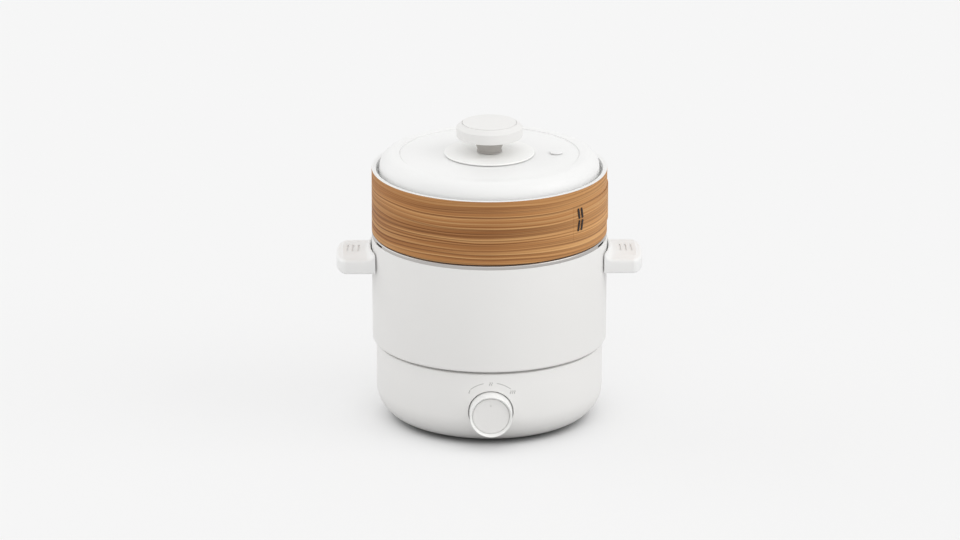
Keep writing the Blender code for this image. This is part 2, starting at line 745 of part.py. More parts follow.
def make_switch(dial):
    middle = SWITCH_FRONT - SWITCH_DEPTH / 2
    size = (SWITCH_WIDTH, SWITCH_HEIGHT, SWITCH_DEPTH)
    body = block("rotary_switch", size, dial, BLACK_PLASTIC, (0, 0, middle))
    neck_end = SWITCH_FRONT + NECK_LENGTH
    join(body, rod("switch_neck", NECK_RADIUS, middle, neck_end, SMALL, dial))
    for side in (-1, 1):
        spot = (side * SWITCH_TAB_SPACING / 2, 0, SWITCH_BACK)
        tab_size = (TAB_WIDTH, TAB_THICKNESS, 2 * TAB_LENGTH)
        join(body, block(f"switch_tab_{side + 2}", tab_size, dial, None, spot))
    bore_end = SHAFT_TOP - SHAFT_LENGTH - GAP
    cut(body, rod("switch_bore", SHAFT_BORE, bore_end, neck_end + SWITCH_DEPTH, SMALL, dial))

    nut = rod("switch_nut", NUT_WIDTH / sqrt(3), GAP, GAP + NUT_THICKNESS, 6, dial, BRASS)
    cut(nut, rod("nut_bore", NECK_RADIUS + GAP, -NUT_WIDTH, NUT_WIDTH, SMALL, dial))


def make_dial(turning):
    front = DIAL_RADIUS - DIAL_DRAFT
    rim = front - DIAL_RIM_WIDTH
    corner = (front - DIAL_FRONT_ROUND, DIAL_REACH - DIAL_FRONT_ROUND)
    inner_face = DIAL_FACE_FLOOR - DIAL_WALL
    hub = SHAFT_BORE + DIAL_HUB_WALL
    hub_end = SHAFT_TOP - SHAFT_SOCKET
    profile = [
        (0, DIAL_FACE_FLOOR),
        (rim, DIAL_FACE_FLOOR),
        (rim, DIAL_REACH),
        *arc(corner, DIAL_FRONT_ROUND, DIAL_FRONT_ROUND, 90, 0, 2),
        (DIAL_RADIUS, DIAL_REAR_CLEARANCE),
        (DIAL_RADIUS - DIAL_WALL, DIAL_REAR_CLEARANCE),
        (front - DIAL_WALL, inner_face),
        (hub, inner_face),
        (hub, hub_end),
        (SHAFT_BORE, hub_end),
        (SHAFT_BORE, SHAFT_TOP + GAP),
        (0, SHAFT_TOP + GAP),
    ]
    turned("dial_knob", profile, MEDIUM, turning, WHITE)

    cap_low = DIAL_FACE_FLOOR + GAP
    rod("dial_cap", rim - GAP, cap_low, cap_low + DIAL_CAP_THICKNESS, MEDIUM, turning, WHITE)
    rod("dial_shaft", SHAFT_RADIUS, SHAFT_TOP - SHAFT_LENGTH, SHAFT_TOP, SMALL, turning, STEEL)


def pin_spots():
    """The contacts' places in the inlet's frame, whose Y points down."""
    return {
        "line": (-PIN_SPACING / 2, PIN_DROP),
        "neutral": (PIN_SPACING / 2, PIN_DROP),
        "earth": (0, -PIN_EARTH_RISE),
    }


def make_power_inlet(housing, inlet):
    """A socket shroud through the back wall, held by a flange inside. Its frame's Z points back."""
    low = INLET_REACH - INLET_LENGTH
    sides = rounded_rectangle(INLET_WIDTH, INLET_TALL, INLET_ROUND)
    body = outline("power_inlet", sides, low, INLET_REACH, inlet, BLACK_PLASTIC)
    flange_width = INLET_WIDTH + 2 * INLET_FLANGE_WIDTH
    flange_tall = INLET_TALL + 2 * INLET_FLANGE_WIDTH
    flange_sides = rounded_rectangle(flange_width, flange_tall, INLET_ROUND)
    flange_top = sqrt((BASE_RADIUS - BASE_WALL) ** 2 - (flange_width / 2) ** 2) - 2 * GAP
    flange_low = flange_top - INLET_FLANGE_THICKNESS
    join(body, outline("inlet_flange", flange_sides, flange_low, flange_top, inlet))
    floor = INLET_REACH - INLET_SOCKET_DEPTH
    socket_width = INLET_WIDTH - 2 * INLET_WALL
    socket_tall = INLET_TALL - 2 * INLET_WALL
    socket_sides = rounded_rectangle(socket_width, socket_tall, INLET_ROUND / 2)
    cut(body, outline("inlet_socket", socket_sides, floor, INLET_REACH + INLET_WALL, inlet))

    pin_low = low - PIN_TAIL
    for name, (x, y) in pin_spots().items():
        cut(body, rod(f"pin_hole_{name}", PIN_RADIUS + GAP, 0, INLET_REACH, TINY, inlet, None, (x, y, 0)))
        pin = f"power_pin_{name}"
        rod(pin, PIN_RADIUS, pin_low, pin_low + PIN_LENGTH, TINY, inlet, BRASS, (x, y, 0))

    window_width = INLET_WIDTH + 2 * GAP
    window_tall = INLET_TALL + 2 * GAP
    window_sides = rounded_rectangle(window_width, window_tall, INLET_ROUND)
    cut(housing, outline("inlet_window", window_sides, flange_top, INLET_REACH, inlet))


def make_wires(base):
    """The wiring, from terminal to terminal, below the plate and clear of the sensor's bracket."""
    back = Vector((0, -WIRE_LEAD, 0))
    down = Vector((0, 0, -WIRE_LEAD))
    aside = Vector((WIRE_LEAD, 0, 0))
    pin_y = INLET_REACH - INLET_LENGTH - PIN_TAIL - GAP
    line_pin = Vector((-PIN_SPACING / 2, pin_y, INLET_HEIGHT - PIN_DROP))
    neutral_pin = Vector((PIN_SPACING / 2, pin_y, INLET_HEIGHT - PIN_DROP))
    earth_pin = Vector((0, pin_y, INLET_HEIGHT + PIN_EARTH_RISE))
    tab_y = -DIAL_FLOOR_Y - SWITCH_BACK + TAB_LENGTH + GAP
    left_tab = Vector((-SWITCH_TAB_SPACING / 2, tab_y, DIAL_HEIGHT))
    right_tab = Vector((SWITCH_TAB_SPACING / 2, tab_y, DIAL_HEIGHT))
    cutout_x = CUTOUT_RADIUS + TAB_LENGTH + GAP
    cutout_z = PLATE_BOTTOM - GAP - CUTOUT_HEIGHT * 3 / 4
    left_cutout = Vector((-cutout_x, CUTOUT_CIRCLE, cutout_z))
    right_cutout = Vector((cutout_x, CUTOUT_CIRCLE, cutout_z))
    left_tail = element_end(-1) + GAP / WIRE_LEAD * down
    right_tail = element_end(1) + GAP / WIRE_LEAD * down
    bracket_end_x = BRACKET_LEG + BRACKET_FOOT - WIRE_RADIUS
    bracket_end = Vector((bracket_end_x, 0, PLATE_BOTTOM - BRACKET_THICKNESS - 2 * GAP))
    middle = (WIRE_LOW + WIRE_HIGH) / 2
    routes = {
        "wire_inlet_switch": (WIRE_RED, [
            line_pin,
            line_pin + back,
            (-WIRE_SIDE, WIRE_AHEAD, WIRE_LOW),
            (-WIRE_SIDE, -WIRE_AHEAD, WIRE_LOW),
            left_tab - back,
            left_tab,
        ]),
        "wire_switch_cutout": (WIRE_RED, [
            right_tab,
            right_tab - back,
            (WIRE_SIDE, -WIRE_AHEAD, middle),
            (WIRE_SIDE, WIRE_AHEAD, WIRE_HIGH),
            right_cutout + aside,
            right_cutout,
        ]),
        "wire_cutout_element": (WIRE_RED, [left_cutout, left_cutout - aside, left_tail + down, left_tail]),
        "wire_element_inlet": (WIRE_BLUE, [right_tail, right_tail + down, neutral_pin + back, neutral_pin]),
        "wire_earth": (WIRE_GREEN, [
            earth_pin,
            earth_pin + back,
            (EARTH_WIRE_SIDE, EARTH_WIRE_BACK, middle),
            (2 * EARTH_WIRE_SIDE, EARTH_WIRE_SIDE, WIRE_HIGH),
            bracket_end + 2 * down,
            bracket_end,
        ]),
    }
    for name, (look, knots) in routes.items():
        wire(name, smooth_route(knots), WIRE_RADIUS, base, look)


def make_pot_shell(pot, sides):
    top = (SHELL_RADIUS - SHELL_TOP_ROUND, SHELL_HEIGHT - SHELL_TOP_ROUND)
    foot = (SHELL_FOOT_RADIUS - SHELL_BOTTOM_ROUND, SHELL_BOTTOM_ROUND)
    flange = COLLAR_RADIUS + LOOSE
    profile = [
        (SHELL_RADIUS - SHELL_WALL, SHELL_HEIGHT),
        *arc(top, SHELL_TOP_ROUND, SHELL_TOP_ROUND, 90, 0, 1),
        *arc(foot, SHELL_BOTTOM_ROUND, SHELL_BOTTOM_ROUND, 0, -90, 2),
        (flange, 0),
        (flange, SHELL_FLANGE_THICKNESS),
        (SHELL_FOOT_RADIUS - SHELL_WALL, SHELL_FLANGE_THICKNESS),
    ]
    shell = turned("pot_shell", profile, LARGE, pot, WHITE)
    for side, frame in sides.items():
        for corner in (-1, 1):
            angle = corner * NOTCH_ANGLE
            spot = (SHELL_RADIUS * cos(angle), SHELL_RADIUS * sin(angle), SHELL_HEIGHT)
            size = (4 * SHELL_WALL, NOTCH_WIDTH, 2 * NOTCH_DEPTH)
            name = f"rim_notch_{side}_{corner + 2}"
            cut(shell, block(name, size, frame, None, spot, (0, 0, angle)))
            y = corner * HANDLE_SCREW_SPACING / 2
            hole = rod(
                f"shell_hole_{side}_{corner + 2}", SCREW_HOLE_RADIUS, SHELL_RADIUS - HANDLE_REACH / 2,
                SHELL_RADIUS + HANDLE_REACH, TINY, frame, None, (0, y, HANDLE_MIDDLE), (0, pi / 2, 0),
            )
            cut(shell, hole)


def make_inner_pot(pot):
    inner_corner = POT_CORNER - POT_WALL
    inner_floor = POT_FLOOR_RISE + POT_FLOOR_THICKNESS
    inner_centre = (POT_RADIUS - inner_corner, inner_floor + inner_corner)
    outer_centre = (POT_OUTER_RADIUS - POT_CORNER, POT_FLOOR_RISE + POT_CORNER)
    mouth = (POT_RADIUS + POT_MOUTH_ROUND, POT_TOP - POT_MOUTH_ROUND)
    bead = POT_RIM_THICKNESS / 2
    bead_centre = (POT_RIM_RADIUS - bead, POT_TOP - bead)
    profile = [
        (0, inner_floor),
        *arc(inner_centre, inner_corner, inner_corner, -90, 0, 3),
        *arc(mouth, POT_MOUTH_ROUND, POT_MOUTH_ROUND, 180, 90, 1),
        *arc(bead_centre, bead, bead, 90, -90, 3),
        (POT_OUTER_RADIUS, POT_TOP - POT_RIM_THICKNESS),
        *arc(outer_centre, POT_CORNER, POT_CORNER, 0, -90, 3),
        (0, POT_FLOOR_RISE),
    ]
    turned("inner_pot", profile, LARGE, pot, STEEL)

    ring_z = SHELL_FLANGE_THICKNESS + GAP
    ring_radius = SHELL_FOOT_RADIUS - SHELL_WALL - GAP
    lip_top = POT_FLOOR_RISE - GAP
    lip_bore = RING_LIP_RADIUS - RING_LIP_WIDTH
    ring_profile = [
        (lip_bore, lip_top),
        (RING_LIP_RADIUS, lip_top),
        (ring_radius, ring_z + RING_THICKNESS),
        (ring_radius, ring_z),
        (RING_LIP_RADIUS, ring_z),
        (RING_LIP_RADIUS, lip_top - RING_THICKNESS),
        (lip_bore, lip_top - RING_THICKNESS),
    ]
    turned("pot_base_ring", ring_profile, LARGE, pot, BLACK_PLASTIC)


def handle_outline(root_radius, inset):
    """The handle from above, anticlockwise. It reaches along +X and hugs the pot's wall.

    The inset draws it in at its sides and its tip.
    """
    tip = SHELL_RADIUS + HANDLE_REACH
    half = HANDLE_HALF_WIDTH - inset
    root_angle = degrees(asin(half / root_radius))
    corner = (tip - HANDLE_CORNER_LENGTH, HANDLE_HALF_WIDTH - HANDLE_CORNER_WIDTH)
    far_half = [
        *arc(corner, HANDLE_CORNER_LENGTH - inset, HANDLE_CORNER_WIDTH - inset, 0, 90, 8),
        (root_radius * cos(radians(root_angle)), half),
    ]
    near_half = [(x, -y) for x, y in reversed(far_half)]
    root = arc((0, 0), root_radius, root_radius, root_angle, -root_angle, 8)
    return far_half + root[1:-1] + near_half


def groove_outline():
    """A slim groove that sways gently from side to side along Y."""
    steps = 8
    middle = []
    for i in range(steps + 1):
        t = i / steps - 0.5
        middle.append((GROOVE_SWAY * sin(2 * pi * t), GROOVE_LENGTH * t))
    right = [(x + GROOVE_WIDTH / 2, y) for x, y in middle]
    left = [(x - GROOVE_WIDTH / 2, y) for x, y in reversed(middle)]
    return right + left


def make_handle(side, frame):
    root_radius = SHELL_RADIUS + GAP
    half = HANDLE_THICKNESS / 2
    spot = (0, 0, HANDLE_MIDDLE)
    edge = HANDLE_EDGE
    section = [
        *arc((-edge, edge - half), edge, edge, -90, 0, 3),
        *arc((-edge, half - edge), edge, edge, 0, 90, 3),
    ]
    shape = bmesh.new()
    rings = []
    for reach, z in section:
        rings.append([shape.verts.new((x, y, z)) for x, y in handle_outline(root_radius, -reach)])
    for low, high in zip(rings, rings[1:]):
        for i, corner in enumerate(low):
            shape.faces.new((low[i - 1], corner, high[i], high[i - 1]))
    shape.faces.new(rings[0])
    shape.faces.new(rings[-1])
    bmesh.ops.recalc_face_normals(shape, faces=shape.faces)
    handle = place(f"handle_{side}", from_bmesh(f"handle_{side}", shape), frame, WHITE, spot, (0, 0, 0))
    join(handle, handle_rise(side, root_radius, half, frame))

    centre = SHELL_RADIUS + GROOVE_INSET
    for index in range(GROOVE_COUNT):
        x = centre + (index - (GROOVE_COUNT - 1) / 2) * GROOVE_SPACING
        name = f"groove_{side}_{index + 1}"
        top = HANDLE_MIDDLE + half
        groove = outline(name, groove_outline(), -GROOVE_DEPTH, half, frame, None, (x, 0, top))
        cut(handle, groove)
    make_handle_screws(side, frame, handle)


def handle_rise(side, root_radius, half, frame):
    """The sweep of the handle's top up the pot's wall, as a curved strip that follows the wall."""
    rise_top = half + HANDLE_RISE
    reach = root_radius + HANDLE_RISE_REACH
    profile = [
        (root_radius, rise_top),
        *arc((reach, rise_top), HANDLE_RISE_REACH - HANDLE_RISE_LAND, HANDLE_RISE, 180, 270, 4),
        (reach, 0),
        (root_radius, 0),
    ]
    strip = turned(f"handle_rise_{side}", profile, LARGE, frame, None, (0, 0, HANDLE_MIDDLE))
    size = (2 * HANDLE_REACH, 2 * (HANDLE_HALF_WIDTH - HANDLE_EDGE), 4 * rise_top)
    window = block(f"handle_rise_window_{side}", size, frame, None, (SHELL_RADIUS, 0, HANDLE_MIDDLE))
    boolean(strip, window, "INTERSECT")
    return strip


def make_handle_screws(side, frame, handle):
    """Two screws from inside the wall. Their heads lie against it where it is nearest the axis."""
    y = HANDLE_SCREW_SPACING / 2
    wall = (SHELL_FOOT_RADIUS - SHELL_WALL) * cos(pi / LARGE)
    seat = sqrt(wall**2 - (y + SCREW_HEAD_RADIUS) ** 2) - GAP
    tip = seat + HANDLE_SCREW_LENGTH
    profile = [
        (0, tip),
        (SCREW_SHANK_RADIUS, tip),
        (SCREW_SHANK_RADIUS, seat),
        (SCREW_HEAD_RADIUS, seat),
        (SCREW_HEAD_RADIUS, seat - SCREW_HEAD_HEIGHT),
        (0, seat - SCREW_HEAD_HEIGHT),
    ]
    for number, corner in enumerate((-1, 1)):
        spot = (0, corner * y, HANDLE_MIDDLE)
        name = f"handle_screw_{side}_{number + 1}"
        turned(name, profile, TINY, frame, STEEL, spot, (0, pi / 2, 0))
        hole = rod(
            f"handle_hole_{side}_{number + 1}", SCREW_HOLE_RADIUS, seat, tip + GAP, TINY, frame, None,
            spot, (0, pi / 2, 0),
        )
        cut(handle, hole)


def make_liner(tier):
    lip = (TIER_RADIUS - LIP_ROUND, TIER_HEIGHT - LIP_ROUND)
    skirt = POT_RADIUS - LOOSE
    lid_ledge = TIER_HEIGHT - LID_LEDGE_DEPTH
    tray_bore = LINER_BORE - TRAY_LEDGE_WIDTH
    profile = [
        (MOUTH_RADIUS, TIER_HEIGHT),
        *arc(lip, LIP_ROUND, LIP_ROUND, 90, 0, 1),
        (TIER_RADIUS, TIER_HEIGHT - LIP_THICKNESS),
        (LINER_RADIUS, TIER_HEIGHT - LIP_THICKNESS),
        (LINER_RADIUS, 0),
        (skirt, 0),
        (skirt, -SKIRT_DEPTH),
        (skirt - SKIRT_WALL, -SKIRT_DEPTH),
        (skirt - SKIRT_WALL, 0),
        (tray_bore, 0),
        (tray_bore, TRAY_LEDGE_THICKNESS),
        (LINER_BORE, TRAY_LEDGE_THICKNESS),
        (LINER_BORE, lid_ledge),
        (MOUTH_RADIUS, lid_ledge),
    ]
    turned("steamer_liner", profile, LARGE, tier, WHITE)


def make_bamboo(tier):
    top = TIER_HEIGHT - LIP_THICKNESS - GAP
    profile = [
        (BAND_INNER_RADIUS, top),
        (TIER_RADIUS - BAND_EDGE, top),
        (TIER_RADIUS, top - BAND_EDGE),
        (TIER_RADIUS, GAP + BAND_EDGE),
        (TIER_RADIUS - BAND_EDGE, GAP),
        (BAND_INNER_RADIUS, GAP),
    ]
    turned("bamboo_band", profile, LARGE, tier, BAMBOO)

    shape = bmesh.new()
    bmesh.ops.create_grid(shape, x_segments=TONGUE_STEPS, y_segments=1, size=0.5)
    start = STITCH_ANGLE - TONGUE_LEAD
    for vertex in shape.verts:
        angle = start + TONGUE_ANGLE * (vertex.co.x + 0.5)
        z = TONGUE_BASE + TONGUE_HEIGHT * (vertex.co.y + 0.5)
        vertex.co = ((TIER_RADIUS + GAP) * cos(angle), (TIER_RADIUS + GAP) * sin(angle), z)
    bmesh.ops.recalc_face_normals(shape, faces=shape.faces)
    tongue = place("bamboo_tongue", from_bmesh("bamboo_tongue", shape), tier, BAMBOO, (0, 0, 0), (0, 0, 0))
    outward = tongue.data.polygons[0].normal.dot(tongue.data.polygons[0].center) > 0
    skin = tongue.modifiers.new("Thickness", "SOLIDIFY")
    skin.thickness = TONGUE_THICKNESS
    skin.offset = 1 if outward else -1
    skin.use_even_offset = True


def make_stitches(tier):
    """Two pairs of flat cane stitches, one above the other, leaning opposite ways."""
    radius = TONGUE_RADIUS + GAP + STITCH_THICKNESS / 2
    number = 0
    for level in (1, -1):
        for column in (-1, 1):
            number += 1
            angle = STITCH_ANGLE + column * STITCH_SPACING / 2 / radius
            spot = (radius * cos(angle), radius * sin(angle), STITCH_CENTRE + level * STITCH_RISE)
            size = (STITCH_THICKNESS, STITCH_WIDTH, STITCH_LENGTH)
            name = f"stitch_{number}"
            stitch = block(name, size, tier, DARK_CANE, spot, (level * STITCH_LEAN, 0, angle))
            edges = stitch.modifiers.new("Edges", "BEVEL")
            edges.width = STITCH_THICKNESS / 3
            edges.segments = 1


def make_tray(tray):
    bore = TRAY_RADIUS - TRAY_RIM_WALL
    profile = [
        (0, TRAY_THICKNESS),
        (bore, TRAY_THICKNESS),
        (bore, TRAY_RIM_HEIGHT),
        (TRAY_RADIUS, TRAY_RIM_HEIGHT),
        (TRAY_RADIUS, 0),
        (0, 0),
    ]
    plate = turned("steam_tray", profile, LARGE, tray, STEEL)
    shape = bmesh.new()
    spots = [(0, 0)]
    for ring in range(1, TRAY_HOLE_RINGS + 1):
        spots += around(ring * TRAY_HOLE_PITCH, ring * TRAY_HOLES_PER_RING)
    for spot in spots:
        add_rod(shape, TRAY_HOLE_RADIUS, -TRAY_THICKNESS, 2 * TRAY_THICKNESS, 8, spot)
    cut(plate, place("tray_holes", from_bmesh("tray_holes", shape), tray, None, (0, 0, 0), (0, 0, 0)))


def make_lid_shell(lid):
    seat = LID_PLATE_RADIUS + LOOSE
    shoulder = (LID_RING_RADIUS, 0)
    width = LID_RADIUS - LID_RING_RADIUS
    rim_low = GAP - LID_LEDGE_DEPTH
    under = LID_SHOULDER_RISE - LID_WALL
    profile = [
        (LID_SCREW_HOLE, LID_CROWN_RISE),
        (seat, LID_CROWN_RISE),
        *arc(shoulder, width, LID_SHOULDER_RISE, 90, 0, 5),
        (LID_RADIUS, rim_low),
        (LID_RADIUS - LID_WALL, rim_low),
        *arc(shoulder, width - LID_WALL, under, 0, 90, 3),
        (seat, LID_CROWN_RISE - LID_WALL),
        (LID_SCREW_HOLE, LID_CROWN_RISE - LID_WALL),
    ]
    shell = turned("lid_shell", profile, LARGE, lid, WHITE_LID)

    slope = atan2(LID_CROWN_RISE - LID_SHOULDER_RISE, LID_RING_RADIUS - seat)
    surface = LID_CROWN_RISE - (VENT_OFFSET - seat) * sin(slope) / cos(slope)
    spot = (VENT_OFFSET, 0, surface)
    tilt = (0, slope, 0)
    hole = VENT_SPIGOT_RADIUS + GAP
    cut(shell, rod("vent_hole", hole, -2 * LID_WALL, 2 * LID_WALL, TINY, lid, None, spot, tilt))
    top = GAP + VENT_HEIGHT
    vent_profile = [
        (0, top),
        (VENT_RADIUS - VENT_EDGE, top),
        (VENT_RADIUS, top - VENT_EDGE),
        (VENT_RADIUS, GAP),
        (VENT_SPIGOT_RADIUS, GAP),
        (VENT_SPIGOT_RADIUS, GAP - VENT_SPIGOT_LENGTH),
        (0, GAP - VENT_SPIGOT_LENGTH),
    ]
    turned("steam_vent", vent_profile, SMALL, lid, WHITE_LID, spot, tilt)


def make_lid_knob(lid):
    plate_z = LID_CROWN_RISE + GAP
    plate_profile = [
        (LID_SCREW_HOLE, LID_PLATE_TOP),
        (LID_PLATE_RADIUS - LID_PLATE_EDGE, LID_PLATE_TOP),
        (LID_PLATE_RADIUS, LID_PLATE_TOP - LID_PLATE_EDGE),
        (LID_PLATE_RADIUS, plate_z),
        (LID_SCREW_HOLE, plate_z),
    ]
    turned("lid_plate", plate_profile, MEDIUM, lid, WHITE_LID)

    stem_z = LID_PLATE_TOP + GAP
    stem_top = stem_z + STEM_HEIGHT
    spigot_top = stem_top + SPIGOT_HEIGHT
    stem_profile = [
        (LID_SCREW_HOLE, spigot_top),
        (SPIGOT_RADIUS, spigot_top),
        (SPIGOT_RADIUS, stem_top),
        (STEM_TOP_RADIUS, stem_top),
        (STEM_WAIST_RADIUS, stem_z),
        (LID_SCREW_HOLE, stem_z),
    ]
    turned("knob_stem", stem_profile, MEDIUM, lid, WHITE_LID)

    cap_z = stem_top + GAP
    cap_top = cap_z + KNOB_HEIGHT
    inlay_z = cap_top - INLAY_THICKNESS
    inlay_seat = INLAY_RADIUS + GAP
    side_top = cap_top - KNOB_CHAMFER_HEIGHT
    screw_tip = spigot_top + LID_SCREW_BITE
    cap_profile = [
        (0, inlay_z - GAP),
        (inlay_seat, inlay_z - GAP),
        (inlay_seat, cap_top),
        (KNOB_RADIUS, side_top),
        (KNOB_RADIUS, cap_z + KNOB_EDGE),
        (KNOB_RADIUS - KNOB_EDGE, cap_z),
        (SPIGOT_RADIUS + GAP, cap_z),
        (SPIGOT_RADIUS + GAP, spigot_top + GAP),
        (LID_SCREW_HOLE, spigot_top + GAP),
        (LID_SCREW_HOLE, screw_tip + GAP),
        (0, screw_tip + GAP),
    ]
    turned("knob_cap", cap_profile, MEDIUM, lid, WHITE_LID)
    inlay_profile = [
        (0, cap_top),
        (INLAY_RADIUS - INLAY_EDGE, cap_top),
        (INLAY_RADIUS, cap_top - INLAY_EDGE),
        (INLAY_RADIUS, inlay_z),
        (0, inlay_z),
    ]
    turned("knob_inlay", inlay_profile, MEDIUM, lid, WHITE_LID)

    washer_top = LID_CROWN_RISE - LID_WALL - GAP
    washer_z = washer_top - WASHER_THICKNESS
    washer_profile = [
        (LID_SCREW_HOLE, washer_top),
        (WASHER_RADIUS, washer_top),
        (WASHER_RADIUS, washer_z),
        (LID_SCREW_HOLE, washer_z),
    ]
    turned("knob_washer", washer_profile, SMALL, lid, STEEL)
    head_top = washer_z - GAP
    screw_profile = [
        (0, screw_tip),
        (LID_SCREW_RADIUS, screw_tip),
        (LID_SCREW_RADIUS, head_top),
        (LID_SCREW_HEAD_RADIUS, head_top),
        (LID_SCREW_HEAD_RADIUS, head_top - LID_SCREW_HEAD_HEIGHT),
        (0, head_top - LID_SCREW_HEAD_HEIGHT),
    ]
    turned("knob_screw", screw_profile, TINY, lid, STEEL)


def main():
    clear_scene()
    base = empty("base", (0, 0, 0))
    dial_mount = empty("dial_mount", (0, -DIAL_FLOOR_Y, DIAL_HEIGHT), base, (pi / 2, 0, 0))
    inlet = empty("inlet", (0, 0, INLET_HEIGHT), base, (-pi / 2, 0, 0))
    housing = make_base_housing(base, dial_mount)
    make_bottom_cover(base)
    make_feet(base)
    make_bottom_screws(base)
    make_heating_plate(base)
    make_heating_element(base)
    make_sensor(base, empty("sensor", (0, 0, PLATE_TOP), base))
    make_thermal_cutout(base)
    make_switch(dial_mount)
    make_dial(empty("dial_axis", (0, 0, 0), dial_mount))
    make_power_inlet(housing, inlet)
    make_wires(base)

    pot = empty("pot", (0, 0, POT_BOTTOM), base)
    sides = {
        "right": empty("right_side", (0, 0, 0), pot),
        "left": empty("left_side", (0, 0, 0), pot, (0, 0, pi)),
    }
    make_pot_shell(pot, sides)
    make_inner_pot(pot)
    for side, frame in sides.items():
        make_handle(side, frame)

    tier = empty("tier", (0, 0, TIER_BOTTOM - POT_BOTTOM), pot)
    make_liner(tier)
    make_bamboo(tier)
    make_stitches(tier)
    make_tray(empty("tray", (0, 0, TRAY_LEDGE_THICKNESS + GAP), tier))
    lid = empty("lid", (0, 0, TIER_HEIGHT), tier)
    make_lid_shell(lid)
    make_lid_knob(lid)


main()
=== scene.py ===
"""Looks for an electric steamer pot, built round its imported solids.

Metres, +Z up, front at -Y. Every piece is modelled in the frame of the solids.
"""

import json
from math import asin, cos, degrees, pi, radians, sin, sqrt, tan

import bmesh
import bpy
from mathutils import Matrix, Vector


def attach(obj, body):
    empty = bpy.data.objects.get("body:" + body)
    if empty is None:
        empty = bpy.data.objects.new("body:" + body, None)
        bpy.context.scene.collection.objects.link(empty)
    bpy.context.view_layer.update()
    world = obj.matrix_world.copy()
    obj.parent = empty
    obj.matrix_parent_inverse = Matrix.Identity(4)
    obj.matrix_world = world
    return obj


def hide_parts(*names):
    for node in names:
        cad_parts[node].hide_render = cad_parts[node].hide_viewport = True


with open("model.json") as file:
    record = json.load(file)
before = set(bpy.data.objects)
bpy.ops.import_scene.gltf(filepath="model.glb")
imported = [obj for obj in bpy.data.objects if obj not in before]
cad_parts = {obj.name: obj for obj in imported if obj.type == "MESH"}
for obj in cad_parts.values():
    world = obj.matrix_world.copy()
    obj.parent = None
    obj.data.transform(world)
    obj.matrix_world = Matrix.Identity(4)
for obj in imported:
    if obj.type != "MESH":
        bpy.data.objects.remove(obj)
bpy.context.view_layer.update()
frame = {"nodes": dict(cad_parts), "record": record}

# Small edge rounds and gaps, and a hair that keeps two faces out of one plane
GAP = 0.0003
EDGE = 0.0005
HAIR = 0.00002

# Sizes and places, mostly those of the solids
BASE_RADIUS = 0.0963
BASE_FOOT = 0.0020
BASE_TOP = 0.0669
BASE_WALL = 0.0026
BASE_ROUND = 0.0265
BASE_EDGE = 0.0012
DECK_HOLE = 0.0660
COLLAR_RADIUS = 0.0880
COLLAR_BORE = 0.0856
COLLAR_TOP = 0.0715
COVER_SEAT = 0.0684
LEDGE_BORE = 0.0564
LEDGE_LOW = 0.0047
LEDGE_TOP = 0.0071
DIAL_FLOOR_Y = 0.0901
DIAL_HEIGHT = 0.0329
DIAL_RADIUS = 0.0183
DIAL_REACH = 0.0184
DIAL_RECESS_RADIUS = 0.0192
DIAL_RECESS_DEPTH = 0.0062
DIAL_PAD = 0.0026
NECK_HOLE = 0.0050
INLET_HEIGHT = 0.0380
INLET_WINDOW = (0.0296, 0.0226, 0.0040)
INLET_WINDOW_INSIDE = 0.0912
INLET_REACH = 0.1056
POT_BOTTOM = 0.0694
SHELL_RADIUS = 0.1001
SHELL_FOOT_RADIUS = 0.0996
SHELL_TOP = 0.1603
SHELL_WALL = 0.0025
FLANGE_BORE = 0.0886
POT_TOP = 0.1642
POT_RADIUS = 0.0920
POT_OUTER = 0.0932
POT_CORNER = 0.0140
POT_RIM_RADIUS = 0.0996
TIER_BOTTOM = 0.1645
TIER_RADIUS = 0.1000
LINER_RADIUS = 0.0972
LINER_BORE = 0.0915
MOUTH_RADIUS = 0.0945
LIP_BORE = 0.0963
LIP_RADIUS = 0.0999
LIP_TOP = 0.2204
LID_LEDGE = 0.2125
SKIRT_RADIUS = 0.0914
LID_RADIUS = 0.0934
LID_WALL = 0.0022
LID_RING = 0.0770
LID_SHOULDER_RADIUS = 0.0816
LID_SHOULDER = 0.2327
LID_CROWN = 0.2320
LID_PLATE_RADIUS = 0.0383
LID_PLATE_TOP = 0.2341
VENT_OFFSET = 0.0566
VENT_RADIUS = 0.0055
KNOB_BOTTOM = 0.2476
KNOB_TOP = 0.2599
KNOB_RADIUS = 0.0281
INLAY_RADIUS = 0.0229
HANDLE_REACH = 0.1301
HANDLE_TOP = 0.1467
HANDLE_LOW = 0.1340
HANDLE_HALF_WIDTH = 0.0290
HANDLE_RISE = 0.0053
HANDLE_RISE_REACH = 0.0070
SCREW_HOLE = 0.0019

# Sides of a whole turn: of a body, and of a small round
SIDES = 160
ROUND_SIDES = 72

# Angles in degrees from which an edge is shaded sharp, and is bevelled
SHARP_ANGLE = 35
BEVEL_ANGLE = 40


def placed(name, data):
    """A new object with this data, in the scene."""
    obj = bpy.data.objects.new(name, data)
    bpy.context.scene.collection.objects.link(obj)
    return obj


# Camera: six metres away, where one pixel is 0.858 mm at the middle of the floor contact.
# The object's axis stands at AXIS_PIXEL from the left, its foot at FLOOR_PIXEL from the top.
PICTURE_WIDTH = 960
PICTURE_HEIGHT = 540
SENSOR_WIDTH = 36
PIXEL = 0.000858
DISTANCE = 6.06
ELEVATION = radians(18.09)
AZIMUTH = radians(-0.7)
AXIS_PIXEL = 489.3
FLOOR_PIXEL = 412.0


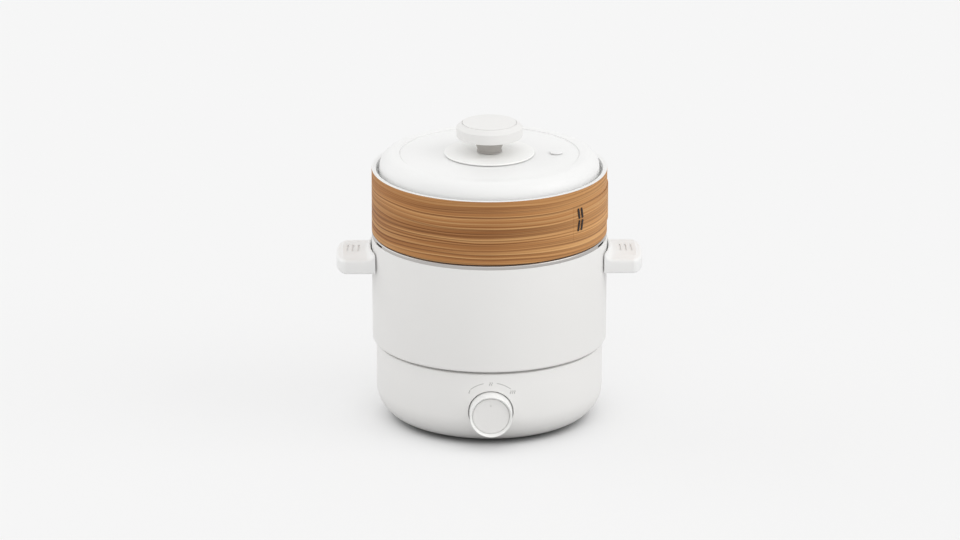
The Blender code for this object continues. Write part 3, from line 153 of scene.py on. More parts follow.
def make_camera():
    level = cos(ELEVATION)
    away = Vector((sin(AZIMUTH) * level, -cos(AZIMUTH) * level, sin(ELEVATION)))
    right = Vector((cos(AZIMUTH), sin(AZIMUTH), 0))
    up = away.cross(right)
    target = right * (PICTURE_WIDTH / 2 - AXIS_PIXEL) * PIXEL
    target += up * (FLOOR_PIXEL - PICTURE_HEIGHT / 2) * PIXEL
    target += away * (-target.dot(away))
    lens = bpy.data.cameras.new("camera")
    lens.sensor_width = SENSOR_WIDTH
    lens.lens = SENSOR_WIDTH * DISTANCE / (PICTURE_WIDTH * PIXEL)
    lens.clip_start = 1
    lens.clip_end = 30
    camera = placed("camera", lens)
    turn = Matrix((right, up, away)).transposed().to_4x4()
    camera.matrix_world = Matrix.Translation(target + away * DISTANCE) @ turn
    bpy.context.scene.camera = camera


# Shader nodes


def feed(tree, socket, value):
    """Links another node's output to the socket, or sets a plain value on it."""
    if isinstance(value, bpy.types.NodeSocket):
        tree.links.new(value, socket)
    else:
        socket.default_value = value


def add_node(tree, kind, inputs, **settings):
    """A shader node with its inputs, each a plain value or another node's output."""
    node = tree.nodes.new("ShaderNode" + kind)
    for key, value in settings.items():
        setattr(node, key, value)
    for key, value in inputs.items():
        feed(tree, node.inputs[key], value)
    return node


class Look:
    """A material whose shader is fed from nodes over the object's own coordinates, in metres."""

    def __init__(self, name):
        self.material = bpy.data.materials.new(name)
        self.material.use_nodes = True
        self.tree = self.material.node_tree
        self.shader = self.tree.nodes["Principled BSDF"]
        self.place = self.add("TexCoord", {}).outputs["Object"]

    def add(self, kind, inputs, **settings):
        return add_node(self.tree, kind, inputs, **settings)

    def set(self, **inputs):
        for key, value in inputs.items():
            feed(self.tree, self.shader.inputs[key.replace("_", " ")], value)

    def maths(self, operation, *values):
        return self.add("Math", dict(enumerate(values)), operation=operation).outputs[0]

    def scaled(self, scale, vector=None):
        """A vector times the scale: the object's coordinates where no other is given."""
        inputs = {0: vector or self.place, 1: scale}
        return self.add("VectorMath", inputs, operation="MULTIPLY").outputs[0]

    def noise(self, scale, detail=2.0, roughness=0.5, place=None):
        """Noise between 0 and 1, with scale features to the metre along each axis."""
        inputs = {
            "Vector": self.scaled(scale, place),
            "Scale": 1.0,
            "Detail": detail,
            "Roughness": roughness,
        }
        return self.add("TexNoise", inputs).outputs[0]

    def span(self, value, low, high, start=0.0, end=1.0):
        """The value taken from low..high to start..end, and held at both ends."""
        source = {"Value": value, "From Min": low, "From Max": high}
        return self.add("MapRange", {**source, "To Min": start, "To Max": end}).outputs[0]

    def spread(self, noise, start=0.0, end=1.0):
        """Noise, most of which lies between 0.3 and 0.7, taken to start..end."""
        return self.span(noise, 0.3, 0.7, start, end)

    def mix(self, share, first, second):
        """A colour between two, by the share of the second."""
        return self.add("Mix", {0: share, 6: first, 7: second}, data_type="RGBA").outputs[2]

    def bump(self, height, distance, below=None):
        """Bumps of this distance in metres, on top of any others."""
        inputs = {"Height": height, "Distance": distance, "Strength": 1.0}
        if below is not None:
            inputs["Normal"] = below
        return self.add("Bump", inputs).outputs[0]

    def around(self, radial, along, height):
        """Coordinates that follow a turned piece: features to the metre across, round and up."""
        parts = self.add("SeparateXYZ", {0: self.place}).outputs
        flat = self.add("CombineXYZ", {0: parts[0], 1: parts[1]}).outputs[0]
        radius = self.add("VectorMath", {0: flat}, operation="LENGTH").outputs[1]
        across = self.maths("MULTIPLY", radius, radial)
        level = self.maths("MULTIPLY_ADD", parts[2], height, across)
        x, y = (self.maths("MULTIPLY", parts[axis], along) for axis in (0, 1))
        return self.add("CombineXYZ", {0: x, 1: y, 2: level}).outputs[0]


def colour(red, green, blue):
    """A colour given in the 0 to 255 values that a picture shows."""
    shares = [value / 255 for value in (red, green, blue)]
    linear = [v / 12.92 if v <= 0.04045 else ((v + 0.055) / 1.055) ** 2.4 for v in shares]
    return (*linear, 1.0)


def grey(value):
    return (value, value, value, 1.0)


def shade(tone, factor):
    """The colour made darker, or lighter with a factor over 1."""
    return (*[value * factor for value in tone[:3]], 1.0)


def moulded(name, tone, roughness, grain=0.4, coat=0.0):
    """Moulded plastic: fine grain, a slight swell, uneven gloss and a trace of tone change."""
    look = Look(name)
    cloud = look.noise((14, 14, 14), 3.0)
    speck = look.noise((900, 900, 900), 2.0)
    look.set(Base_Color=look.mix(look.spread(cloud), shade(tone, 0.985), tone))
    gloss = look.noise((60, 60, 60), 3.0)
    look.set(Roughness=look.spread(gloss, roughness - 0.03, roughness + 0.04))
    swell = look.bump(look.noise((45, 45, 45), 1.0), 0.00002)
    look.set(Normal=look.bump(speck, 0.00001 * grain, swell))
    if coat:
        look.set(Coat_Weight=coat, Coat_Roughness=0.18)
    return look.material


def turned_metal(name, tone, roughness, radial, height, depth):
    """Metal brushed or turned round the axis, with lines across the radius and up the wall."""
    look = Look(name)
    place = look.around(radial, 3.0, height)
    lines = look.noise((1, 1, 1), 3.0, 0.65, place)
    cloud = look.noise((20, 20, 20), 3.0)
    look.set(Base_Color=look.mix(look.spread(lines), shade(tone, 0.82), tone), Metallic=1.0)
    streak = look.spread(lines, roughness - 0.06, roughness + 0.08)
    look.set(Roughness=look.maths("ADD", streak, look.spread(cloud, -0.02, 0.03)))
    look.set(Normal=look.bump(lines, depth))
    return look.material


def plain_metal(name, tone, roughness):
    """Small pressed or drawn metal, with faint scratches and a clouded gloss."""
    look = Look(name)
    scratch = look.noise((300, 300, 2500), 3.0, 0.6)
    cloud = look.noise((80, 80, 80), 3.0)
    look.set(Base_Color=look.mix(look.spread(cloud), shade(tone, 0.86), tone), Metallic=1.0)
    look.set(Roughness=look.spread(scratch, roughness - 0.05, roughness + 0.10))
    look.set(Normal=look.bump(scratch, 0.00001))
    return look.material


def cast_metal(name, tone, roughness):
    """Cast metal: pitted, with a clouded surface."""
    look = Look(name)
    pits = look.noise((700, 700, 700), 4.0, 0.6)
    cloud = look.noise((50, 50, 50), 3.0)
    look.set(Base_Color=look.mix(look.spread(cloud), shade(tone, 0.80), tone), Metallic=1.0)
    look.set(Roughness=look.spread(pits, roughness - 0.05, roughness + 0.12))
    look.set(Normal=look.bump(pits, 0.00006))
    return look.material


def rubber(name, tone):
    """Matt rubber with a fine grain and paler dust."""
    look = Look(name)
    dust = look.noise((60, 60, 60), 4.0, 0.6)
    grain = look.noise((1500, 1500, 1500), 2.0)
    look.set(Base_Color=look.mix(look.span(dust, 0.45, 0.75), tone, shade(tone, 1.9)))
    look.set(Roughness=look.spread(dust, 0.70, 0.88), Normal=look.bump(grain, 0.00003))
    return look.material


# Bamboo: its colours, its dark lines to the metre of height, and how far right its painted light
# reaches full strength
BAMBOO_TONE = colour(185, 128, 76)
BAMBOO_DEEP = colour(154, 99, 53)
BAMBOO_LIGHT = colour(226, 178, 120)
BAMBOO_LINE = colour(88, 44, 20)
BAMBOO_LINES = 235.0
BAMBOO_PAINTED_LIGHT_END = 0.090


def bamboo(name):
    """Bent bamboo strip: fibres round the hoop, long uneven dark lines, and painted light that
    makes it paler to the right.
    """
    look = Look(name)
    parts = look.add("SeparateXYZ", {0: look.place}).outputs
    sway = look.maths("MULTIPLY", look.noise((6, 6, 17), 1.0, 0.5), 0.0085)
    sway = look.maths("MULTIPLY_ADD", look.noise((15, 15, 70), 1.0, 0.5), 0.0016, sway)
    level = look.maths("ADD", parts[2], sway)
    grain = look.add("CombineXYZ", {0: parts[0], 1: parts[1], 2: level}).outputs[0]
    broad = look.noise((2, 2, 105), 2.0, 0.5, grain)
    bands = look.noise((3, 3, 430), 2.0, 0.6, grain)
    fine = look.noise((5, 5, 1500), 2.0, 0.6, grain)
    thread = look.noise((22, 22, 4200), 1.0, 0.5, grain)
    fade = look.noise((5, 5, 150), 1.0, 0.5, grain)
    drift = look.noise((2, 2, 60), 1.0, 0.5, grain)
    crack = look.noise((2, 2, 640), 1.0, 0.5, grain)

    # Each period of the height darkens slowly to a line's sharp edge, and the fade breaks it up
    shift = look.maths("MULTIPLY", drift, 2.6)
    ring = look.maths("FRACT", look.maths("MULTIPLY_ADD", level, BAMBOO_LINES, shift))
    rise = look.span(ring, 0.45, 0.88)
    fall = look.span(ring, 0.89, 0.94, 1.0, 0.0)
    line = look.maths("MULTIPLY", look.maths("POWER", rise, 2.6), fall)
    line = look.maths("MULTIPLY", line, look.span(fade, 0.32, 0.58, 0.25, 1.0))

    tone = look.mix(look.span(broad, 0.36, 0.64), BAMBOO_DEEP, BAMBOO_TONE)
    tone = look.mix(look.span(bands, 0.50, 0.70, 0.0, 0.70), tone, BAMBOO_LIGHT)
    tone = look.mix(look.span(bands, 0.44, 0.32, 0.0, 0.55), tone, BAMBOO_LINE)
    tone = look.mix(look.span(fine, 0.42, 0.66, 0.0, 0.26), tone, BAMBOO_LIGHT)
    tone = look.mix(look.maths("MULTIPLY", line, 0.92), tone, BAMBOO_LINE)
    tone = look.mix(look.span(crack, 0.64, 0.72, 0.0, 0.70), tone, BAMBOO_LINE)
    tone = look.mix(look.span(thread, 0.35, 0.75, 0.0, 0.14), tone, BAMBOO_LINE)
    # Painted light: the hoop is painted paler and brighter towards its right, where the lamps
    # light it, and slightly darker at its left
    tone = look.mix(look.span(parts[0], 0.0, BAMBOO_PAINTED_LIGHT_END, 0.0, 0.26), tone, BAMBOO_LIGHT)
    painted_light_gain = look.span(parts[0], 0.0, BAMBOO_PAINTED_LIGHT_END, 0.97, 1.16)
    look.set(Base_Color=look.scaled(painted_light_gain, tone))

    look.set(Roughness=look.spread(thread, 0.52, 0.66), Specular_IOR_Level=0.2)
    ridges = look.bump(look.maths("SUBTRACT", bands, look.maths("MULTIPLY", line, 0.6)), 0.00010)
    look.set(Normal=look.bump(fine, 0.00003, ridges))
    return look.material


def cane(name):
    """Dark split cane, with fibres along its length."""
    look = Look(name)
    fibre = look.noise((1800, 1800, 120), 3.0, 0.6)
    tone = look.mix(look.span(fibre, 0.35, 0.65), colour(16, 6, 3), colour(40, 17, 9))
    look.set(Base_Color=tone, Roughness=look.spread(fibre, 0.5, 0.7))
    look.set(Normal=look.bump(fibre, 0.00005))
    return look.material


# The whites differ by what the photograph shows of each piece
WHITE = moulded("white_moulding", colour(239, 238, 236), 0.42)
WHITE_LID = moulded("white_lid_moulding", colour(241, 241, 240), 0.36, 0.3)
# Painted light: a lighter copy of the white moulding, so that the dial reads brighter
PAINTED_LIGHT_WHITE_DIAL = moulded("white_dial_painted_light", colour(249, 249, 247), 0.36, 0.3)
# Painted light: a lighter copy of the white moulding for the grips, lifting the shade the pot's
# wall throws on their tops
PAINTED_LIGHT_WHITE_GRIP = moulded("white_grip_painted_light", colour(243, 243, 242), 0.42)
# Painted light: a lighter copy of the white moulding for the lid's plate, lifting the shade under
# the knob
PAINTED_LIGHT_WHITE_PLATE = moulded("white_plate_painted_light", colour(248, 248, 246), 0.36, 0.3)
# Painted shade: a darker copy of the lid's white for the knob
PAINTED_SHADE_WHITE_KNOB = moulded("white_knob_painted_shade", colour(234, 233, 231), 0.36, 0.3)
MARKING = moulded("grey_print", colour(166, 164, 162), 0.5)
# Grey plastic for the knob's stem, made darker still as painted shade under the knob
STEM_GREY_AND_SHADE = moulded("grey_moulding_and_painted_shade", colour(180, 176, 172), 0.45)
BLACK = moulded("black_moulding", colour(26, 26, 27), 0.48, 1.5)
RUBBER = rubber("foot_rubber", colour(30, 30, 31))
STEEL = turned_metal("brushed_steel", colour(196, 193, 190), 0.30, 2600, 2600, 0.00001)
PLATE_METAL = turned_metal("turned_aluminium", colour(176, 176, 178), 0.38, 1500, 1500, 0.00006)
SMALL_STEEL = plain_metal("plated_steel", colour(190, 189, 187), 0.30)
CAST = cast_metal("cast_aluminium", colour(150, 150, 152), 0.50)
BRASS = plain_metal("drawn_brass", colour(206, 168, 98), 0.26)
BAMBOO = bamboo("bamboo_strip")
CANE = cane("dark_cane")
WIRES = {
    "wire_red": moulded("red_insulation", colour(150, 28, 28), 0.45),
    "wire_blue": moulded("blue_insulation", colour(34, 60, 150), 0.45),
    "wire_green": moulded("green_insulation", colour(60, 130, 52), 0.45),
}


# Geometry


def arc(centre, radius_x, radius_z, start, end, steps):
    """Points of an elliptical arc, from its start to its end angle in degrees."""
    points = []
    for i in range(steps + 1):
        angle = radians(start + (end - start) * i / steps)
        points.append((centre[0] + radius_x * cos(angle), centre[1] + radius_z * sin(angle)))
    return points


def rounded(corners, closed):
    """The outline's points, with each corner of (x, y, radius) turned into an arc."""
    points = []
    count = len(corners)
    for i, corner in enumerate(corners):
        spot = Vector(corner[:2])
        at_end = not closed and i in (0, count - 1)
        if len(corner) < 3 or at_end:
            points.append(tuple(spot))
            continue
        back = (Vector(corners[i - 1][:2]) - spot).normalized()
        ahead = (Vector(corners[(i + 1) % count][:2]) - spot).normalized()
        half = back.angle(ahead) / 2
        radius = corner[2]
        centre = spot + (back + ahead).normalized() * radius / sin(half)
        reach = radius / tan(half)
        first = spot + back * reach - centre
        last = spot + ahead * reach - centre
        steps = max(2, round((pi - 2 * half) / radians(15)))
        spokes = [first.slerp(last, k / steps) for k in range(steps + 1)]
        points += [tuple(centre + spoke * radius) for spoke in spokes]
    return points


def circle(radius, sides=ROUND_SIDES):
    return arc((0, 0), radius, radius, 0, 360, sides)[:-1]


def finished(shape):
    """The bmesh as a welded mesh with outward normals, shaded smooth up to its sharp edges."""
    bmesh.ops.remove_doubles(shape, verts=shape.verts, dist=1e-6)
    bmesh.ops.recalc_face_normals(shape, faces=shape.faces)
    mesh = bpy.data.meshes.new("mesh")
    shape.to_mesh(mesh)
    shape.free()
    mesh.shade_smooth()
    mesh.set_sharp_from_angle(angle=radians(SHARP_ANGLE))
    return mesh


def add_ring(shape, low, high):
    """Faces between two rings of vertices, either of which may be a single point."""
    count = max(len(low), len(high))
    for i in range(count):
        j = (i + 1) % count
        below = [low[i % len(low)], low[j % len(low)]]
        above = [high[j % len(high)], high[i % len(high)]]
        shape.faces.new(list(dict.fromkeys(below + above)))


def add_stack(shape, rings):
    """Faces along a row of rings, closed at both ends."""
    for low, high in zip(rings, rings[1:]):
        add_ring(shape, low, high)
    shape.faces.new(rings[0])
    shape.faces.new(rings[-1])


def turned(profile, sides=SIDES):
    """A mesh turned about Z from (radius, z), (radius, z, round) points down its outer side."""
    closed = profile[0][0] > 0
    shape = bmesh.new()
    rings = []
    for radius, z in rounded(profile, closed):
        count = sides if radius > 1e-7 else 1
        angles = [2 * pi * i / count for i in range(count)]
        rings.append([shape.verts.new((radius * cos(a), radius * sin(a), z)) for a in angles])
    pairs = list(zip(rings, rings[1:]))
    if closed:
        pairs.append((rings[-1], rings[0]))
    for low, high in pairs:
        add_ring(shape, low, high)
    return finished(shape)


def drawn_out(points, low, high):
    """A mesh from a flat outline in XY, drawn out along Z."""
    shape = bmesh.new()
    rings = [[shape.verts.new((x, y, z)) for x, y in points] for z in (low, high)]
    add_stack(shape, rings)
    return finished(shape)


def rounded_rectangle(width, height, radius):
    """Its outline round the origin."""
    x, y = width / 2, height / 2
    return rounded([(x, y, radius), (-x, y, radius), (-x, -y, radius), (x, -y, radius)], True)


def piece(name, mesh, body, material, replaces=(), matrix=None):
    """A shown piece that rides on a body. A matrix takes its mesh into the solids' frame."""
    if matrix is not None:
        mesh.transform(matrix)
    mesh.name = name
    mesh.materials.clear()
    mesh.materials.append(material)
    obj = placed(name, mesh)
    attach(obj, body)
    if replaces:
        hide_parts(*replaces)


def combined(mesh, *steps):
    """The mesh after exact boolean steps, each (operation, mesh)."""
    obj = placed("work", mesh)
    others = []
    for operation, other in steps:
        others.append(placed("cutter", other))
        step = obj.modifiers.new("step", "BOOLEAN")
        step.operation = operation
        step.solver = "EXACT"
        step.object = others[-1]
    return applied(obj, others)


def applied(obj, others=()):
    """The mesh that the object's modifiers make. The object and its helpers go."""
    bpy.context.view_layer.update()
    graph = bpy.context.evaluated_depsgraph_get()
    mesh = bpy.data.meshes.new_from_object(obj.evaluated_get(graph))
    for thing in (obj, *others):
        bpy.data.objects.remove(thing, do_unlink=True)
    shape = bmesh.new()
    shape.from_mesh(mesh)
    return finished(shape)


def moved(mesh, matrix):
    mesh.transform(matrix)
    return mesh


def bevelled(mesh, width, segments):
    obj = placed("work", mesh)
    edges = obj.modifiers.new("edges", "BEVEL")
    edges.width = width
    edges.segments = segments
    edges.angle_limit = radians(BEVEL_ANGLE)
    return applied(obj)


# The dial and the inlet are modelled with +Z out of the wall
DIAL_FRAME = Matrix.Translation((0, -DIAL_FLOOR_Y, DIAL_HEIGHT)) @ Matrix.Rotation(pi / 2, 4, "X")
INLET_FRAME = Matrix.Translation((0, 0, INLET_HEIGHT)) @ Matrix.Rotation(-pi / 2, 4, "X")


def base_side(inset, top):
    """The base's side from its top to the round at its foot, drawn in by the inset."""
    centre = (BASE_RADIUS - BASE_ROUND, BASE_FOOT + BASE_ROUND)
    radius = BASE_ROUND - inset
    return [(BASE_RADIUS - inset, top), *arc(centre, radius, radius, 0, -90, 18)]


def make_base():
    """The white wall with its deck, collar, dial recess and inlet window."""
    centre = (BASE_RADIUS - BASE_ROUND, BASE_FOOT + BASE_ROUND)
    inner_round = BASE_ROUND - BASE_WALL
    inner_start = -degrees(asin((centre[1] - LEDGE_TOP) / inner_round))
    outer = base_side(0, BASE_TOP)
    profile = [
        (DECK_HOLE, BASE_TOP, EDGE),
        (COLLAR_BORE, BASE_TOP, EDGE),
        (COLLAR_BORE, COLLAR_TOP, EDGE),
        (COLLAR_RADIUS, COLLAR_TOP, EDGE),
        (COLLAR_RADIUS, BASE_TOP, EDGE),
        (*outer[0], BASE_EDGE),
        *outer[1:-1],
        (COVER_SEAT, BASE_FOOT, GAP),
        (COVER_SEAT, LEDGE_LOW),
        (LEDGE_BORE, LEDGE_LOW),
        (LEDGE_BORE, LEDGE_TOP),
        *arc(centre, inner_round, inner_round, inner_start, 0, 6),
        (BASE_RADIUS - BASE_WALL, BASE_TOP - BASE_WALL),
        (DECK_HOLE, BASE_TOP - BASE_WALL),
    ]
    # The dial's recess needs a pad behind it, kept inside the middle of the wall
    middle = BASE_WALL / 2
    core_top = BASE_TOP - middle
    core = turned([(0, core_top), *base_side(middle, core_top), (0, BASE_FOOT + middle)])
    reach = DIAL_RECESS_DEPTH + BASE_WALL
    pad = drawn_out(circle(DIAL_RECESS_RADIUS + BASE_WALL), -DIAL_PAD, reach)
    pad = combined(moved(pad, DIAL_FRAME), ("INTERSECT", core))
    recess = drawn_out(circle(DIAL_RECESS_RADIUS), 0, reach)
    neck = drawn_out(circle(NECK_HOLE, 32), -reach, reach)
    window = drawn_out(rounded_rectangle(*INLET_WINDOW), INLET_WINDOW_INSIDE, INLET_REACH)
    mesh = combined(
        turned(profile),
        ("UNION", pad),
        ("DIFFERENCE", moved(recess, DIAL_FRAME)),
        ("DIFFERENCE", moved(neck, DIAL_FRAME)),
        ("DIFFERENCE", moved(window, INLET_FRAME)),
    )
    piece("base_wall", mesh, "base", WHITE, ["base_housing"])


def on_base(x, z, lift):
    """A point on the base's straight wall at a lift above it, near the dial."""
    return (x, -sqrt((BASE_RADIUS + lift) ** 2 - x * x), z)


# The heat scale: its radius round the dial, its line widths, and its wisps' size and spacing
SCALE_RADIUS = 0.0256
SCALE_ARC_WIDTH = 0.00042
WISP_WIDTH = 0.00050
WISP_HEIGHT = 0.0030
WISP_SWAY = 0.0004
WISP_SPACING = 0.0017


def ribbon(points, width, thickness=0.00012):
    """A thin flat line along points of (x, z), laid on the base's wall."""
    shape = bmesh.new()
    rings = []
    spots = [Vector(point) for point in points]
    for i, spot in enumerate(spots):
        ahead = spots[min(i + 1, len(spots) - 1)] - spots[max(i - 1, 0)]
        side = Vector((-ahead.y, ahead.x)).normalized() * width / 2
        ring = []
        for share, lift in ((1, -1), (1, 1), (-1, 1), (-1, -1)):
            x, z = spot + side * share
            ring.append(shape.verts.new(on_base(x, z, lift * thickness / 2)))
        rings.append(ring)
    add_stack(shape, rings)
    return finished(shape)


def joined(meshes):
    shape = bmesh.new()
    for mesh in meshes:
        shape.from_mesh(mesh)
    return finished(shape)


def make_marks():
    """The heat scale over the dial: two thin arcs between one, two and three rising wisps."""
    centre = Vector((0, DIAL_HEIGHT))
    radius = SCALE_RADIUS + 0.001
    lines = []
    for start, end in ((130, 103), (79, 51)):
        line = [centre + Vector(point) for point in arc((0, 0), radius, radius, start, end, 16)]
        lines.append(ribbon(line, SCALE_ARC_WIDTH))
    for count, angle in ((1, 135), (2, 90), (3, 44)):
        middle = centre + Vector((cos(radians(angle)), sin(radians(angle)))) * SCALE_RADIUS
        for k in range(count):
            offset = (k - (count - 1) / 2) * WISP_SPACING
            wave = []
            for i in range(13):
                t = i / 12 - 0.5
                x = offset + WISP_SWAY * sin(2 * pi * t)
                wave.append(middle + Vector((x, WISP_HEIGHT * t)))
            lines.append(ribbon(wave, WISP_WIDTH))
    piece("heat_scale", joined(lines), "base", MARKING)


# The dial: its lower edge and wall, its hub and the shaft's bore, the width of its rim and of the
# slope inside, the depth of the disc, and the pointer's notch
DIAL_LOW = 0.0008
DIAL_WALL = 0.0020
HUB_RADIUS = 0.0060
HUB_LOW = 0.0050
SHAFT_BORE = 0.0033
DIAL_RIM = 0.0009
DIAL_SLOPE = 0.0021
DIAL_DISH = 0.0028
NOTCH = (0.0011, 0.0016, 0.00052)
NOTCH_DEPTH = 0.0009
NOTCH_OFFSET = 0.0098


def make_dial():
    """The knob, hollow behind, and the disc let into its face with the pointer's notch."""
    rim = DIAL_RADIUS - DIAL_RIM
    disc = rim - DIAL_SLOPE
    face = DIAL_REACH - DIAL_DISH
    profile = [
        (0, face - 0.0014),
        (disc + 0.0004, face - 0.0014),
        (disc + 0.0004, face + 0.0001),
        (rim, DIAL_REACH, 0.0004),
        (DIAL_RADIUS - GAP, DIAL_REACH, 0.0006),
        (DIAL_RADIUS, DIAL_LOW, 0.0003),
        (DIAL_RADIUS - DIAL_WALL, DIAL_LOW, 0.0003),
        (DIAL_RADIUS - 0.0023, face - 0.0024, 0.0010),
        (HUB_RADIUS, face - 0.0024, 0.0005),
        (HUB_RADIUS, HUB_LOW, 0.0003),
        (SHAFT_BORE, HUB_LOW),
        (SHAFT_BORE, face - 0.0022),
        (0, face - 0.0022),
    ]
    knob = turned(profile, 96)
    piece("dial_body", knob, "dial", PAINTED_LIGHT_WHITE_DIAL, ["dial_knob"], DIAL_FRAME)
    cap = [(0, face), (disc, face, 0.0002), (disc, face - 0.0012), (0, face - 0.0012)]
    notch = drawn_out(rounded_rectangle(*NOTCH), face - NOTCH_DEPTH, face + 0.001)
    notch = moved(notch, Matrix.Translation((0, NOTCH_OFFSET, 0)))
    dish = combined(turned(cap, 96), ("DIFFERENCE", notch))
    piece("dial_disc", dish, "dial", WHITE, ["dial_cap"], DIAL_FRAME)


# The pot: the thickness of the shell's flange, and the metal's floor and underside over its foot
FLANGE = 0.0024
POT_FLOOR = 0.0060
POT_UNDERSIDE = 0.0040

# The four small slots in the pot's metal rim: size and corner, place, and levels over the shell
RIM_SLOT = (0.0044, 0.0300, 0.0004)
RIM_SLOT_SPOT = (0.0937, 0.0300)
RIM_SLOT_LEVELS = (0.0002, 0.0019)


def make_pot():
    """The white outer wall, and the metal pot with its rim on top of it."""
    profile = [
        (SHELL_RADIUS - SHELL_WALL, SHELL_TOP, GAP),
        (SHELL_RADIUS, SHELL_TOP, 0.0004),
        (SHELL_FOOT_RADIUS, POT_BOTTOM, 0.0022),
        (FLANGE_BORE, POT_BOTTOM, GAP),
        (FLANGE_BORE, POT_BOTTOM + FLANGE, GAP),
        (SHELL_FOOT_RADIUS - SHELL_WALL, POT_BOTTOM + FLANGE),
    ]
    piece("pot_wall", turned(profile), "pot", WHITE, ["pot_shell"])

    floor = POT_BOTTOM + POT_FLOOR
    underside = POT_BOTTOM + POT_UNDERSIDE
    rim_top = POT_TOP - 0.0004
    rim_low = SHELL_TOP + HAIR
    inner = [
        (0, floor),
        (POT_RADIUS, floor, POT_CORNER - 0.0012),
        (POT_RADIUS, rim_top, 0.0016),
        (POT_RIM_RADIUS, rim_top, 0.0014),
        (POT_RIM_RADIUS, rim_low, 0.0001),
        (POT_OUTER, rim_low),
        (POT_OUTER, underside, POT_CORNER),
        (0, underside),
    ]
    slots = []
    for side in (-1, 1):
        for front in (-1, 1):
            slot = drawn_out(rounded_rectangle(*RIM_SLOT), *RIM_SLOT_LEVELS)
            x, y = side * RIM_SLOT_SPOT[0], front * RIM_SLOT_SPOT[1]
            slots.append(("DIFFERENCE", moved(slot, Matrix.Translation((x, y, SHELL_TOP)))))
    metal = combined(turned(inner), *slots)
    piece("pot_metal", metal, "pot", STEEL, ["inner_pot"])


# The handles: their elliptical corners, how much more their tips are drawn in than their sides,
# their edge rounds and crown, the gap at their root, and how deep the strip at their root goes in
HANDLE_CORNER = (0.0085, 0.0230)
HANDLE_TIP_INSET = 1.8
HANDLE_TOP_EDGE = 0.0030
HANDLE_LOW_EDGE = 0.0017
HANDLE_CROWN = 0.0010
HANDLE_ROOT_GAP = 0.0012
HANDLE_RISE_LOW = -0.0060

# The three shallow grooves on each handle: the middle one's distance from the shell, how far they
# bow, where they start across the handle, and their length
GROOVE_MIDDLE = 0.0158
GROOVE_SPACING = 0.0046
GROOVE_BOW = 0.0003
GROOVE_HALF_WIDTH = 0.00070
GROOVE_DEPTH = 0.0003
GROOVE_ABOVE = 0.003
GROOVE_START = 0.0120
GROOVE_LENGTH = 0.0190


def handle_outline(root, inset):
    """The handle from above, anticlockwise along +X, drawn in by the inset but not at its root."""
    half = HANDLE_HALF_WIDTH - inset
    root_angle = degrees(asin(half / root))
    length, width = HANDLE_CORNER
    centre = (HANDLE_REACH - length, HANDLE_HALF_WIDTH - width)
    far = [
        *arc(centre, length - HANDLE_TIP_INSET * inset, width - inset, 0, 90, 24),
        (root * cos(radians(root_angle)), half),
    ]
    near = [(x, -y) for x, y in reversed(far)]
    return far + arc((0, 0), root, root, root_angle, -root_angle, 24)[1:-1] + near


def edge_drop(y, edge):
    """How far the handle's top lies lower at y, because of the round along its sides."""
    past = max(0.0, abs(y) - (HANDLE_HALF_WIDTH - edge))
    return edge - sqrt(max(0.0, edge * edge - past * past))


def handle_rise(root, edge):
    """The strip where the handle's top sweeps up the pot's wall, in sections side to side."""
    reach, land = HANDLE_RISE_REACH, 0.0012
    half = HANDLE_HALF_WIDTH - HAIR
    section = [
        (0, HANDLE_RISE_LOW),
        (0, HANDLE_RISE - 0.0006),
        (0.0006, HANDLE_RISE),
        *arc((reach, HANDLE_RISE), reach - land, HANDLE_RISE, 180, 270, 10),
        (reach, HANDLE_RISE_LOW),
    ]
    shape = bmesh.new()
    rings = []
    for i in range(49):
        y = half * sin(pi / 2 * (i / 24 - 1))
        drop = edge_drop(y, edge)
        ring = []
        for out, up in section:
            x = sqrt((root + out) ** 2 - y * y)
            z = HANDLE_TOP + up - (drop if up > HANDLE_RISE_LOW else 0)
            ring.append(shape.verts.new((x, y, z)))
        rings.append(ring)
    add_stack(shape, rings)
    return finished(shape)


def quarter_round(z, edge, steps):
    """Levels (z, inset) of a round that ends at z: above it, or below it for a negative edge."""
    levels = []
    for i in range(steps + 1):
        angle = radians(90 * i / steps)
        levels.append((z + edge * (1 - sin(angle)), abs(edge) * (1 - cos(angle))))
    return levels


